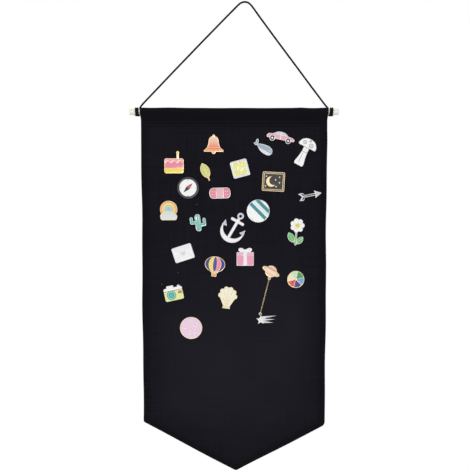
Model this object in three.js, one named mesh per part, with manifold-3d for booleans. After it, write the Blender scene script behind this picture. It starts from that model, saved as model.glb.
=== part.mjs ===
// Pin display banner: a pointed canvas pennant on a wooden dowel, hung by a hitched cord, with struck
// enamel pins held through the cloth by butterfly clutches.
// Millimetres, +Z up, pins on the -Y side. The origin is where a nail carries the bend of the cord.
import * as THREE from "three";
import { mergeVertices } from "three/addons/utils/BufferGeometryUtils.js";
import Module from "manifold-3d";

const wasm = await Module();
wasm.setup();

// Canvas
const BANNER_WIDTH = 300;
const SIDE_LENGTH = 515; // from the top fold to the left lower corner
const RIGHT_SIDE_EXTRA = 4.4; // how much longer the right side is cut
const POINT_DROP = 82.5; // from the left lower corner to the point
const POINT_OFFSET = 3; // how far the point lies right of the middle
const LEFT_CORNER_RADIUS = 4;
const RIGHT_CORNER_RADIUS = 9; // the right corner is turned more bluntly
const POINT_RADIUS = 5;
const CANVAS_THICKNESS = 0.9;
const POCKET_DEPTH = 20; // from the top fold to the pocket's seam
const POCKET_FLARE = 1; // how far the pocket stands out past the hemmed sides
const POCKET_CLEARANCE = 0.35; // round the dowel
const FLAP_LENGTH = 9; // the pocket's turned edge below its seam
const SEAM_WIDTH = 1.2; // sewn together under the pocket
const HEM_WIDTH = 12;

// Dowel
const DOWEL_DIAMETER = 10;
const DOWEL_LENGTH = 336;
const DOWEL_CHAMFER = 0.7;

// Cord
const CORD_DIAMETER = 2.8;
const CORD_RISE = 172; // from the dowel's axis to the nail
const NAIL_OFFSET = 17; // how far the nail sits right of the banner's middle
const HITCH_LEAD = 3.2; // sideways run of a hitch's first half turn
const HITCH_TURNS = 2;
const HITCH_GAP = 0.5; // between neighbouring turns
const HITCH_TAIL = 7.5; // how far the end lies back across the turns
const LOOP_STEPS = 24; // steps of a turn of the cord

// The cord's free stretch between the hitches, left to right
const CORD_ROUTE = [
  [-169.7, 6.65, -167],
  [-168.6, 6.5, -164],
  [-165.4, 6.2, -159.8],
  [-146.2, 5.4, -140],
  [-126.7, 4.6, -120],
  [-107.1, 3.8, -100],
  [-87.3, 3, -80],
  [-67.5, 2.2, -60],
  [-47.5, 1.4, -40],
  [-27.4, 0.6, -20],
  [-15.2, 0.2, -8],
  [-9.8, 0, -2.8],
  [-5.2, 0, 0.4],
  [0, 0, 1.45],
  [5.2, 0, 0.4],
  [10.2, 0, -3.7],
  [13.6, 0.2, -8],
  [22.4, 0.6, -20],
  [37.5, 1.4, -40],
  [52.7, 2.2, -60],
  [68, 3, -80],
  [83.4, 3.8, -100],
  [98.7, 4.6, -120],
  [114.1, 5.4, -140],
  [129.6, 6.2, -159.8],
  [133.3, 6.5, -164],
  [135.2, 6.65, -167],
];

// Pins
const PLATE_THICKNESS = 1.8;
const ENAMEL_DEPTH = 0.5;
const RIM_WIDTH = 0.9; // raised edge round each plate
const LINE_WIDTH = 0.8; // raised metal lines between enamel fields
const POST_DIAMETER = 1.2;
const POST_LENGTH = 9;
const POST_TIP = 1.8;
const POST_ROOT = 0.6; // depth of the post's foot in the plate
const POST_CLEARANCE = 0.3;

// Clutches
const CLUTCH_DIAMETER = 11.4;
const CLUTCH_RIM = 0.9;
const HUB_DIAMETER = 6;
const HUB_HEIGHT = 3.8;
const WING_SPAN = 12.4;
const WING_WIDTH = 4.6;
const WING_THICKNESS = 0.6;
const WING_LIFT = 1.9;

// Chain between the two linked pins
const CHAIN_LINKS = 11;
const WIRE_DIAMETER = 0.75;
const LINK_WIDTH = 2.95;
const LINK_BITE = 0.3; // how far neighbouring links press into each other
const LUG_DIAMETER = 4.8;
const LUG_HOLE = 2.6;
const LUG_THICKNESS = 0.8;

const SEAT_GAP = 0.3; // left between pieces that touch

// Each pin: its place across, as a share of half the banner's width from the middle, then millimetres
// down from the top fold, clockwise turn in degrees and width
const PINS = {
  bell: { across: -0.22, drop: 58, turn: 0, width: 32, metal: "gold", draw: drawBell },
  cake: { across: -0.64667, drop: 87, turn: 0, width: 31, metal: "gold", draw: drawCake },
  leaf: { across: -0.30667, drop: 102, turn: -24, width: 14.5, metal: "gold", draw: drawLeaf },
  tile: { across: 0.06333, drop: 97, turn: -15, width: 27.5, metal: "silver", draw: drawTile },
  compass: { across: -0.49667, drop: 128, turn: 0, width: 35, metal: "black", draw: drawCompass },
  plaster: { across: -0.15333, drop: 136.5, turn: -2, width: 34, metal: "silver", draw: drawPlaster },
  car: { across: 0.5, drop: 46, turn: 12, width: 45, metal: "silver", draw: drawCar },
  whale: { across: 0.31333, drop: 64, turn: 32, width: 33, metal: "silver", draw: drawWhale },
  mushroom: { across: 0.75333, drop: 71, turn: 27, width: 31, metal: "black", draw: drawMushroom },
  night: { across: 0.42333, drop: 118, turn: 3, width: 36, metal: "gold", draw: drawNight },
  arrow: { across: 0.82, drop: 140, turn: -12, width: 37, metal: "silver", draw: drawArrow },
  rainbow: { across: -0.70667, drop: 165, turn: 0, width: 28, metal: "gold", draw: drawRainbow },
  cactus: { across: -0.39, drop: 184.5, turn: -7, width: 25.6, metal: "silver", draw: drawCactus },
  stripes: { across: 0.26, drop: 165.5, turn: 0, width: 37, metal: "silver", draw: drawStripes },
  anchor: { across: -0.00333, drop: 193, turn: 30, width: 40, metal: "silver", draw: drawAnchor },
  daisy: { across: 0.66, drop: 199, turn: 0, width: 30, metal: "silver", draw: drawDaisy },
  envelope: { across: -0.55333, drop: 234, turn: -18, width: 33, metal: "silver", draw: drawEnvelope },
  balloon: { across: -0.21, drop: 256, turn: 6, width: 33, metal: "gold", draw: drawBalloon },
  gift: { across: 0.12, drop: 241, turn: 0, width: 28, metal: "silver", draw: drawGift },
  planet: { across: 0.4, drop: 264, turn: 30, width: 31, metal: "gold", draw: drawPlanet },
  wheel: { across: 0.67, drop: 277, turn: 0, width: 27.7, metal: "gold", draw: drawWheel },
  camera: { across: -0.66, drop: 299, turn: -12, width: 32, metal: "black", draw: drawCamera },
  shell: { across: -0.07333, drop: 308, turn: 8, width: 31, metal: "gold", draw: drawShell },
  weave: { across: -0.47, drop: 357, turn: 0, width: 36.4, metal: "gold", draw: drawWeave },
  comet: { across: 0.33333, drop: 343, turn: 0, width: 28, metal: "silver", draw: drawComet },
};

const MIDDLE = -NAIL_OFFSET;
const AXIS_HEIGHT = -CORD_RISE;
const POCKET_BORE = DOWEL_DIAMETER / 2 + POCKET_CLEARANCE;
const POCKET_OUTER = POCKET_BORE + CANVAS_THICKNESS;
const FOLD_HEIGHT = AXIS_HEIGHT + POCKET_OUTER;
const CLOTH_FRONT = -CANVAS_THICKNESS / 2;
const CLOTH_BACK = CANVAS_THICKNESS / 2;
const BIG = BANNER_WIDTH + SIDE_LENGTH; // longer than any cut has to be

const MATERIALS = {
  canvas: new THREE.MeshStandardMaterial({ color: 0x1d1c22, roughness: 0.95 }),
  wood: new THREE.MeshStandardMaterial({ color: 0xe6d9b8, roughness: 0.6 }),
  cord: new THREE.MeshStandardMaterial({ color: 0x121214, roughness: 0.9 }),
  gold: new THREE.MeshStandardMaterial({ color: 0xd2a955, roughness: 0.3, metalness: 1 }),
  silver: new THREE.MeshStandardMaterial({ color: 0xc9ccd0, roughness: 0.3, metalness: 1 }),
  black: new THREE.MeshStandardMaterial({ color: 0x3b3b40, roughness: 0.35, metalness: 1 }),
  brass: new THREE.MeshStandardMaterial({ color: 0xc9a24a, roughness: 0.35, metalness: 1 }),
};

const banner = new THREE.Group();

function addPiece(name, geometry, material) {
  const mesh = new THREE.Mesh(geometry, MATERIALS[material]);
  mesh.name = name;
  banner.add(mesh);
  return mesh;
}

// The solid that a closed geometry bounds
function solid(geometry) {
  const bare = new THREE.BufferGeometry();
  const plain = geometry.index ? geometry.toNonIndexed() : geometry;
  bare.setAttribute("position", plain.getAttribute("position"));
  const merged = mergeVertices(bare, 1e-4);
  return new wasm.Manifold(
    new wasm.Mesh({
      numProp: 3,
      vertProperties: merged.attributes.position.array,
      triVerts: new Uint32Array(merged.index.array),
    }),
  );
}

// A joined solid as a geometry, with the flat faces that the joins split put together again
function geometryOf(joined) {
  const mesh = joined.asOriginal().simplify(1e-3).getMesh();
  const geometry = new THREE.BufferGeometry();
  geometry.setAttribute("position", new THREE.BufferAttribute(mesh.vertProperties, 3));
  geometry.setIndex(new THREE.BufferAttribute(mesh.triVerts, 1));
  geometry.computeVertexNormals();
  return geometry;
}

const X = new THREE.Vector3();
const Y = new THREE.Vector3();
const Z = new THREE.Vector3();
new THREE.Matrix4().extractBasis(X, Y, Z);
const united = (solids) => solids.reduce((whole, next) => whole.add(next));
const radians = (degrees) => THREE.MathUtils.degToRad(degrees);
const vectors = (pairs) => pairs.map(([x, z]) => new THREE.Vector2(x, z));

// A flat outline in the XZ plane, given thickness from y = back forward to y = front
function prism(points, back, front) {
  const options = { depth: back - front, bevelEnabled: false };
  const geometry = new THREE.ExtrudeGeometry(new THREE.Shape(points), options);
  geometry.applyMatrix4(new THREE.Matrix4().makeBasis(X, Z, Y.clone().negate()));
  geometry.translate(0, back, 0);
  return solid(geometry);
}

// A counter-clockwise outline moved outward by a distance, corners kept sharp
function offset(points, distance) {
  const normal = (from, to) => new THREE.Vector2(to.y - from.y, from.x - to.x).normalize();
  return points.map((point, index) => {
    const before = normal(points.at(index - 1), point);
    const after = normal(point, points[(index + 1) % points.length]);
    const middle = before.clone().add(after).normalize();
    return point.clone().addScaledVector(middle, distance / middle.dot(before));
  });
}

const shifted = (points, x, z, turn) =>
  points.map((point) => point.clone().rotateAround(new THREE.Vector2(), radians(turn)).add({ x, y: z }));

// Points along a smooth curve through the given ones
function smooth(points, steps, closed) {
  const curve = new THREE.CatmullRomCurve3(
    points.map((point) => new THREE.Vector3(point.x, point.y, 0)),
    closed,
  );
  const samples = curve.getPoints(steps).map((point) => new THREE.Vector2(point.x, point.y));
  return closed ? samples.slice(0, -1) : samples;
}

// A symmetric outline from its right side, listed from top to bottom
function mirrored(right) {
  const left = right.map((point) => new THREE.Vector2(-point.x, point.y));
  return [...left.filter((point) => point.x < 0), ...right.toReversed()];
}

function ellipseLoop(radiusX, radiusZ) {
  const sides = 2 * Math.max(3, Math.round(1.5 + 0.55 * Math.max(radiusX, radiusZ)));
  const angles = Array.from({ length: sides }, (_, index) => (2 * Math.PI * index) / sides);
  return angles.map((a) => new THREE.Vector2(radiusX * Math.cos(a), radiusZ * Math.sin(a)));
}

function slabLoop(width, height, corner) {
  const x = width / 2;
  const z = height / 2;
  const round = Math.max(corner, 0);
  const turns = round > 0 ? [0, Math.PI / 4, Math.PI / 2] : [0];
  const quarter = (signX, signZ, from) =>
    turns.map((turn) => {
      const arm = new THREE.Vector2(round, 0).rotateAround(new THREE.Vector2(), from + turn);
      return arm.add(new THREE.Vector2(signX * (x - round), signZ * (z - round)));
    });
  const [bottom, right, top, left] = [-0.5, 0, 0.5, 1].map((share) => share * Math.PI);
  const rightSide = [...quarter(1, -1, bottom), ...quarter(1, 1, right)];
  return [...rightSide, ...quarter(-1, 1, top), ...quarter(-1, -1, left)];
}

// A pointed oval from two arcs, lying along x
function petalLoop(length, width) {
  const bow = (length * length + width * width) / (4 * width);
  const reach = Math.asin(length / 2 / bow);
  const arc = [-1, -0.6, -0.2, 0.2, 0.6].map((share) => share * reach);
  const drop = bow - width / 2;
  const lower = arc.map((a) => new THREE.Vector2(bow * Math.sin(a), drop - bow * Math.cos(a)));
  return [...lower, ...lower.map((point) => point.clone().negate())];
}

function starLoop(points, outer, inner) {
  const angle = (index) => Math.PI / 2 + (Math.PI * index) / points;
  const radius = (index) => (index % 2 ? inner : outer);
  return Array.from({ length: 2 * points }, (_, index) =>
    new THREE.Vector2(radius(index) * Math.cos(angle(index)), radius(index) * Math.sin(angle(index))),
  );
}

// A flat figure that can be drawn fuller or slimmer all round, and joined with or cut by others
class Figure {
  constructor(make) {
    this.make = make;
  }
  solid(back, front, grow = 0) {
    return this.make(grow, back, front);
  }
  plus(...others) {
    return new Figure((grow, back, front) =>
      united([this, ...others].map((figure) => figure.make(grow, back, front))),
    );
  }
  minus(other) {
    return new Figure((grow, back, front) =>
      this.make(grow, back, front).subtract(other.make(-grow, back, front)),
    );
  }
  within(other) {
    return new Figure((grow, back, front) =>
      this.make(grow, back, front).intersect(other.make(grow, back, front)),
    );
  }
  grown(extra) {
    return new Figure((grow, back, front) => this.make(grow + extra, back, front));
  }
  // The metal line just inside the figure's outline
  edge() {
    return this.minus(this.grown(-LINE_WIDTH));
  }
}

// loopFor gives the figure's outline when drawn that much fuller
const figureOf = (loopFor) => new Figure((grow, back, front) => prism(loopFor(grow), back, front));

// Drawing tools for one pin: every coordinate is in the drawing's units, line widths are in millimetres
function drawingTools(scale) {
  const at = (loopFor, x, z, turn = 0) =>
    figureOf((grow) => shifted(loopFor(grow), scale * x, scale * z, turn));
  const scaled = (pairs) => vectors(pairs).map((point) => point.multiplyScalar(scale));
  const drawn = (loop) => figureOf((grow) => offset(loop, grow));
  const oval = (x, z, radiusX, radiusZ, turn) =>
    at((grow) => ellipseLoop(scale * radiusX + grow, scale * radiusZ + grow), x, z, turn);
  const box = (x, z, width, height, corner, turn) =>
    at((grow) => slabLoop(width + 2 * grow, height + 2 * grow, corner + grow), x, z, turn);
  return {
    spot: (x, z) => new THREE.Vector2(scale * x, scale * z),
    disc: (x, z, radius) => oval(x, z, radius, radius),
    oval,
    slab: (x, z, width, height, corner, turn) =>
      box(x, z, scale * width, scale * height, scale * corner, turn),
    line: (x, z, length, turn) => box(x, z, scale * length, LINE_WIDTH, 0, turn),
    petal: (x, z, length, width, turn) =>
      at((grow) => offset(petalLoop(scale * length, scale * width), grow), x, z, turn),
    star: (x, z, points, outer, inner) =>
      at((grow) => offset(starLoop(points, scale * outer, scale * inner), grow), x, z),
    polygon: (pairs) => drawn(scaled(pairs)),
    curve: (pairs, steps) => drawn(smooth(scaled(pairs), steps, true)),
    flanks: (curved, steps, straight) =>
      drawn(mirrored([...smooth(scaled(curved), steps, false), ...scaled(straight)])),
  };
}

// Drawings: the plate's outline, the raised lines on it and where its posts stand

function drawBell(width) {
  const { spot, disc, line, flanks } = drawingTools(width / 32);
  const flare = [[0, 13], [4.8, 11.8], [7.5, 8], [8.6, 1], [10.8, -5.2], [16, -9.8]];
  const outline = flanks(flare, 12, [[15.4, -12]]).plus(disc(0, 13.2, 2.4), disc(0, -12.4, 3.4));
  const lines = line(0, 11.6, 8).plus(line(0, -5.6, 28), line(0, -9, 32), line(0, -11.7, 32));
  return { outline, lines, posts: [spot(0, 0)] };
}

function drawCake(width) {
  const { spot, slab, petal, line, curve } = drawingTools(width / 31);
  const candle = slab(6, 9, 3.8, 9, 0.6);
  const outline = slab(0, -5.6, 31, 24, 3).plus(candle, petal(6, 15.4, 6.4, 4.4, 90));
  const drips = Array.from({ length: 7 }, (_, index) => [5 * (index - 3), index % 2 ? 2.4 : -2]);
  const icing = curve([...drips, [18, 14], [-18, 14]], 27);
  const lines = icing.edge().plus(line(0, -9.4, 31), line(6, 12.6, 4)).minus(slab(6, 14, 2.2, 17, 0));
  return { outline, lines: lines.plus(line(6, 6, 4)), posts: [spot(0, -3)] };
}

function drawLeaf(width) {
  const { spot, slab, petal, line } = drawingTools(width / 14.5);
  const outline = petal(0, 1.5, 27, 14.5, 90).plus(slab(0, -13, 2.4, 5.6, 1));
  const veins = [4.5, -0.5, -5.5].flatMap((z) => [line(-2.4, z, 6.4, 130), line(2.4, z, 6.4, 50)]);
  return { outline, lines: line(0, 0, 25, 90).plus(...veins), posts: [spot(0, 0)] };
}

function drawTile(width) {
  const { spot, disc, slab, line } = drawingTools(width / 27.5);
  const rays = Array.from({ length: 8 }, (_, index) => 45 * index);
  const sun = rays.map((turn) => line(7.4 * Math.cos(radians(turn)), 7.4 * Math.sin(radians(turn)), 3, turn));
  const lines = slab(0, 0, 22, 22, 2).edge().plus(disc(0, 0, 4.6).edge(), ...sun);
  return { outline: slab(0, 0, 27.5, 27.5, 3), lines, posts: [spot(0, 0)] };
}

function drawCompass(width) {
  const { spot, disc, line, polygon } = drawingTools(width / 35);
  const ticks = [0, 90, 180, 270].map((turn) =>
    line(12.2 * Math.cos(radians(turn)), 12.2 * Math.sin(radians(turn)), 3, turn),
  );
  const needle = polygon([[-7.4, -7.4], [2.2, -2.2], [7.4, 7.4], [-2.2, 2.2]]);
  const lines = disc(0, 0, 14.6).edge().plus(needle.edge(), line(0, 0, 5, -45), ...ticks);
  return { outline: disc(0, 0, 17.5), lines, posts: [spot(0, 0)] };
}

function drawPlaster(width) {
  const { spot, slab, line, star } = drawingTools(width / 34);
  const holes = [-12.2, -9, 9, 12.2].flatMap((x) => [star(x, 2.6, 2, 0.9, 0.9), star(x, -2.6, 2, 0.9, 0.9)]);
  const lines = line(-5.8, 0, 18, 90).plus(line(5.8, 0, 18, 90), ...holes);
  return { outline: slab(0, 0, 34, 17.6, 6.5), lines, posts: [spot(0, 0)] };
}

function drawCar(width) {
  const { spot, disc, line, curve } = drawingTools(width / 45);
  const roof = [[-12.4, 3.2], [-14, 2.8], [-20.5, 1.6], [-22.3, -1], [-22, -4.2], [-17, -4.6], [0, -4.8]];
  const nose = [[17, -4.6], [22, -4], [22.4, -0.8], [19, 1.4], [11.5, 3], [7.5, 6.4], [1, 7.8], [-6.5, 7]];
  const wheels = disc(-13, -4.4, 4.6).plus(disc(13, -4.4, 4.6));
  const lines = line(-1, 2.6, 25, 0).plus(line(-0.4, 5, 5, 90), line(-0.4, -1.2, 7, 90)).minus(wheels);
  const hubs = disc(-13, -4.4, 1.5).plus(disc(13, -4.4, 1.5));
  const outline = curve([...roof, ...nose], 30).plus(wheels);
  return { outline, lines: lines.plus(wheels.edge(), hubs), posts: [spot(-12, -1), spot(12, -1)] };
}

function drawWhale(width) {
  const { spot, disc, curve, petal, line } = drawingTools(width / 33);
  const belly = [[-12.6, 0.6], [-9, -2.6], [-2, -6.4], [8, -7.2], [14.2, -5.2]];
  const back = [[16.4, -0.6], [14, 4.6], [8, 7], [1, 6.2], [-6, 4]];
  const flukes = petal(-14, 4, 9, 4.8, 112).plus(petal(-13.6, -0.4, 8, 4.4, 12));
  const lines = line(5.2, -2.4, 24, 4).plus(disc(10.6, 1.2, 1), line(-10.6, 1.4, 6, 60));
  return { outline: curve([...belly, ...back], 24).plus(flukes), lines, posts: [spot(-6, 0), spot(8, 0)] };
}

function drawMushroom(width) {
  const { spot, disc, line, flanks } = drawingTools(width / 31);
  const crown = [[0, 24], [6.6, 22.8], [12, 19], [15.2, 13.4], [15.5, 10]];
  const cap = flanks(crown, 9, [[13.6, 8]]);
  const stem = flanks([[5.4, 9.2], [5.2, 2], [6.2, -8], [8.4, -18], [8.2, -21]], 8, [[6, -23]]);
  const spots = disc(-6.2, 15.4, 3.2).plus(disc(5.4, 14.2, 3.6), disc(1, 20.4, 2.2));
  const lines = spots.edge().plus(line(0, 8.7, 30, 0), line(0, 0.6, 13, 0), line(-1.6, -10, 16, 92));
  return { outline: cap.plus(stem), lines, posts: [spot(0, 14), spot(0, -13)] };
}

function drawNight(width) {
  const { spot, disc, slab, star } = drawingTools(width / 36);
  const crescent = disc(-3.4, 0, 8.4).minus(disc(0.6, 1.8, 7.4));
  const places = [[3.4, 3], [9.6, 7.4], [9.8, -1.4], [4.6, -8], [-12, 8.2], [-12.4, -7.6]];
  const stars = places.map(([x, z]) => star(x, z, 4, 2, 0.8));
  const lines = slab(0, 0, 31.4, 26.4, 1).edge().plus(crescent, ...stars);
  return { outline: slab(0, 0, 36, 31, 2), lines, posts: [spot(0, 0)] };
}

function drawArrow(width) {
  const { spot, slab, line, polygon } = drawingTools(width / 37);
  const head = polygon([[8.6, 0], [7.4, -6.2], [18.5, 0], [7.4, 6.2]]);
  const vane = polygon([[-18.5, -5.8], [-11.5, -5.8], [-6, 0], [-11.5, 5.8], [-18.5, 5.8], [-13.6, 0]]);
  const lines = line(-10, 0, 9, 0).plus(line(-13.4, 3, 8.4, 136), line(-13.4, -3, 8.4, 44), head.edge());
  return { outline: slab(0, 0, 26, 3.8, 1).plus(head, vane), lines, posts: [spot(0, 0)] };
}

function drawRainbow(width) {
  const { spot, disc, slab } = drawingTools(width / 28);
  const puffs = [disc(-9, -8.6, 5), disc(-2.4, -6.8, 6.6), disc(4.4, -7.6, 6), disc(9.4, -9.6, 4.6)];
  const cloud = slab(0, -11.6, 27, 7.6, 3.6).plus(...puffs);
  const arcs = [11, 8, 5].map((radius) => disc(0, 2, radius).edge());
  const bands = arcs[0].plus(arcs[1], arcs[2]).minus(cloud);
  return { outline: disc(0, 2, 14).plus(cloud), lines: bands.plus(cloud.edge()), posts: [spot(0, 0)] };
}

function drawCactus(width) {
  const { spot, slab, line } = drawingTools(width / 25.6);
  const left = slab(-6, 0.6, 11, 5, 2.4).plus(slab(-10.3, 4.2, 5, 12, 2.4));
  const right = slab(6, -4, 11, 5, 2.4).plus(slab(10.3, 0.2, 5, 13.4, 2.4));
  const lines = line(-1.7, 0, 21, 90).plus(line(1.7, 0, 21, 90));
  return { outline: slab(0, 0, 9, 28, 4.4).plus(left, right), lines, posts: [spot(0, 0)] };
}

function drawStripes(width) {
  const { spot, disc, line } = drawingTools(width / 37);
  const places = [-10.8, -6.6, -2.4, 1.8, 6, 10.2];
  const stripes = places.map((reach) => line(reach, reach, 2 * Math.sqrt(324 - 2 * reach * reach), -45));
  return { outline: disc(0, 0, 18.5), lines: stripes[0].plus(...stripes.slice(1)), posts: [spot(0, 0)] };
}

function drawAnchor(width) {
  const { spot, disc, slab, line, polygon } = drawingTools(width / 40);
  const eye = disc(0, 22, 5.4);
  const arms = disc(0, -5.6, 19.4).minus(disc(0, 0.6, 17.8)).within(slab(0, -20, 60, 38, 0));
  const fluke = polygon([[11.6, -2.6], [20, -4.4], [18.4, 6]]);
  const other = polygon([[-20, -4.4], [-11.6, -2.6], [-18.4, 6]]);
  const shank = slab(0, -2, 4.8, 44, 1).plus(slab(0, 12, 24, 4.8, 2.2));
  const outline = shank.plus(eye, arms, fluke, other).minus(disc(0, 22, 2.4));
  return { outline, lines: line(0, 17, 5, 0).plus(line(0, -17.6, 5, 0)), posts: [spot(0, 1)] };
}

function drawDaisy(width) {
  const { spot, disc, slab, petal, line } = drawingTools(width / 30);
  const turns = Array.from({ length: 7 }, (_, index) => (360 / 7) * index);
  const place = (radius, turn) => {
    const angle = radians(turn);
    return [3.6 + radius * Math.cos(angle), 10 + radius * Math.sin(angle)];
  };
  const petals = turns.map((turn) => disc(...place(7.4, turn), 4.4));
  const parting = turns.map((turn) => line(...place(7, turn + 180 / 7), 6.4, turn + 180 / 7));
  const eye = disc(3.6, 10, 4.4);
  const leaves = petal(-6.4, -9.6, 19, 10.4, 118).plus(petal(7.4, -14.4, 16, 9, 48));
  const outline = eye.plus(...petals, slab(1.2, -10.4, 3, 24, 1.4, -5), leaves);
  const ribs = line(-5.6, -10.8, 14, 118).plus(line(6.8, -15, 12, 48), line(2.4, -1.6, 5, 0));
  return { outline, lines: eye.edge().plus(ribs, ...parting), posts: [spot(0, 0)] };
}

function drawEnvelope(width) {
  const { spot, disc, slab, line } = drawingTools(width / 33);
  const seal = disc(0, -0.6, 3.2);
  const flap = line(-8, 5.4, 21, -38).plus(line(8, 5.4, 21, 38));
  const sides = line(-9.8, -5.4, 16, 46).plus(line(9.8, -5.4, 16, -46));
  const lines = flap.plus(sides).minus(seal).plus(seal.edge());
  return { outline: slab(0, 0, 33, 25, 2.4), lines, posts: [spot(0, 0)] };
}

function drawBalloon(width) {
  const { spot, oval, slab, line, polygon } = drawingTools(width / 33);
  const bag = oval(0, 3.6, 16.5, 13);
  const skirt = polygon([[-4, -11.4], [4, -11.4], [9.8, -5], [-9.8, -5]]);
  const gores = oval(0, 3.6, 10.4, 13).edge().plus(oval(0, 3.6, 3.8, 13).edge());
  const lines = gores.within(slab(0, 6, 40, 28, 0)).plus(line(0, -8, 18, 0), line(0, -11.4, 9, 0));
  return { outline: bag.plus(skirt, slab(0, -13.4, 8.4, 6, 1.2)), lines, posts: [spot(0, 0)] };
}

function drawGift(width) {
  const { spot, disc, oval, slab, line } = drawingTools(width / 28);
  const bow = oval(-5.6, 11.6, 5.8, 3.6, -22).plus(oval(5.6, 11.6, 5.8, 3.6, 22));
  const band = line(-2.6, -2.4, 22, 90).plus(line(2.6, -2.4, 22, 90));
  const lines = band.plus(line(0, 3.6, 28, 0), line(0, 8.6, 28, 0), disc(0, 10.6, 2.4));
  return { outline: slab(0, -2.4, 28, 22.6, 1.6).plus(bow, disc(0, 10.6, 3)), lines, posts: [spot(0, -2)] };
}

function drawPlanet(width) {
  const { spot, disc, oval, slab, line } = drawingTools(width / 31);
  const globe = disc(0, 0, 9.6);
  const ring = oval(0, 0, 15.5, 5);
  const front = ring.minus(oval(0, 0.8, 11.8, 2.6)).within(slab(0, -10, 40, 20, 0));
  const bands = line(0, 5.6, 15, 0).plus(line(0, 2.2, 18, 0), line(0, -6.4, 14, 0));
  const lines = globe.edge().plus(bands.within(globe)).minus(front).plus(front.edge());
  return { outline: globe.plus(ring), lines, posts: [spot(0, 0)], lug: spot(3.4, -11.2) };
}

function drawWheel(width) {
  const { spot, disc, line } = drawingTools(width / 27.7);
  const spokes = [15, 75, 135].map((turn) => line(0, 0, 27, turn));
  return { outline: disc(0, 0, 13.85), lines: disc(0, 0, 2).plus(...spokes), posts: [spot(0, 0)] };
}

function drawCamera(width) {
  const { spot, disc, slab, line } = drawingTools(width / 32);
  const lens = disc(-4, -3.4, 7.6);
  const outline = slab(0, -1.8, 32, 23, 3.4).plus(slab(-4, 10, 13, 6.4, 1.6), slab(10, 9.8, 5.6, 4.4, 1.2));
  const lines = line(0, 3.6, 32, 0).minus(lens).plus(lens.edge(), disc(-4, -3.4, 4.2).edge());
  return { outline, lines: lines.plus(slab(10.6, -0.6, 6, 4, 0.8).edge()), posts: [spot(0, 0)] };
}

function drawShell(width) {
  const { spot, disc, line, polygon } = drawingTools(width / 31);
  const turns = [0, 36, 72, 108, 144, 180];
  const lobe = (angle) => disc(11 * Math.cos(angle), 4 + 11 * Math.sin(angle), 4.6);
  const lobes = turns.map((turn) => lobe(radians(turn)));
  const fan = polygon([[-6.4, -17], [6.4, -17], [6, -12], [13.4, 2], [0, 12], [-13.4, 2], [-6, -12]]);
  const ribs = turns.slice(0, -1).map((turn) => {
    const end = [12.4 * Math.cos(radians(turn + 18)), 4 + 12.4 * Math.sin(radians(turn + 18))];
    const lean = THREE.MathUtils.radToDeg(Math.atan2(end[1] + 12, end[0]));
    return line(end[0] / 2, (end[1] - 12) / 2, Math.hypot(end[0], end[1] + 12), lean);
  });
  const outline = fan.plus(disc(0, 4, 11.6), ...lobes);
  return { outline, lines: line(0, -12.4, 14, 0).plus(...ribs), posts: [spot(0, 0)] };
}

function drawWeave(width) {
  const { spot, disc, line } = drawingTools(width / 36.4);
  const rows = [[-10, 2], [-5, 3], [0, 3], [5, 3], [10, 2]];
  const dashes = rows.flatMap(([z, count], row) =>
    Array.from({ length: count }, (_, index) => {
      const x = 9 * (index - (count - 1) / 2) + (row % 2 ? 1.5 : -1.5);
      return line(x * 0.9 + z * 0.43, z * 0.9 - x * 0.43, 5.4, -25);
    }),
  );
  return { outline: disc(0, 0, 18.2), lines: dashes[0].plus(...dashes.slice(1)), posts: [spot(0, 0)] };
}

function drawComet(width) {
  const { spot, star, polygon } = drawingTools(width / 28);
  const head = star(-6.4, -0.6, 5, 8, 4);
  const tails = [[19.6, 6.4, 3.4], [17, 0.4, -0.4], [14, -5.2, -3.6]].map(([x, z, root]) =>
    polygon([[-5, root - 2.4], [x, z], [-5, root + 2]]),
  );
  return { outline: head.plus(...tails), lines: head.edge(), posts: [spot(0, 0)], lug: spot(-7.4, 9.2) };
}

// Pieces

function dowel() {
  const radius = DOWEL_DIAMETER / 2;
  const half = DOWEL_LENGTH / 2;
  const right = vectors([[radius, half - DOWEL_CHAMFER], [radius - DOWEL_CHAMFER, half], [0, half]]);
  const left = right.toReversed().map((point) => new THREE.Vector2(point.x, -point.y));
  const geometry = new THREE.LatheGeometry([...left, ...right], 24);
  geometry.rotateZ(-Math.PI / 2);
  geometry.translate(MIDDLE, 0, AXIS_HEIGHT);
  addPiece("dowel", geometry, "wood");
}

// The arc of a circle round the dowel's axis, from where a straight side leaves it in front to the back
function pocketArc(radius, frontFoot, backFoot) {
  const tangent = (foot, side) => Math.atan2(foot.y, foot.x) + side * Math.acos(radius / foot.length());
  const from = tangent(frontFoot, -1) + 2 * Math.PI;
  const to = tangent(backFoot, 1);
  const steps = 14;
  return Array.from({ length: steps + 1 }, (_, index) => {
    const angle = from + ((to - from) * index) / steps;
    return new THREE.Vector2(radius * Math.cos(angle), radius * Math.sin(angle));
  });
}

// Section of the rod pocket in the YZ plane round the dowel's axis, with the flap behind the cloth
function pocketSection() {
  const seam = POCKET_OUTER - POCKET_DEPTH;
  const flapFront = CLOTH_BACK + SEAT_GAP;
  const flapBack = flapFront + CANVAS_THICKNESS;
  const front = new THREE.Vector2(CLOTH_FRONT, seam);
  const back = new THREE.Vector2(flapBack, seam);
  const flap = vectors([[flapBack, seam - FLAP_LENGTH], [flapFront, seam - FLAP_LENGTH], [flapFront, seam]]);
  const shape = new THREE.Shape([front, ...pocketArc(POCKET_OUTER, front, back), back, ...flap].toReversed());
  const inside = new THREE.Vector2(CLOTH_BACK, seam + SEAM_WIDTH);
  shape.holes.push(new THREE.Path([inside, ...pocketArc(POCKET_BORE, inside, inside)]));
  return shape;
}

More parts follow.
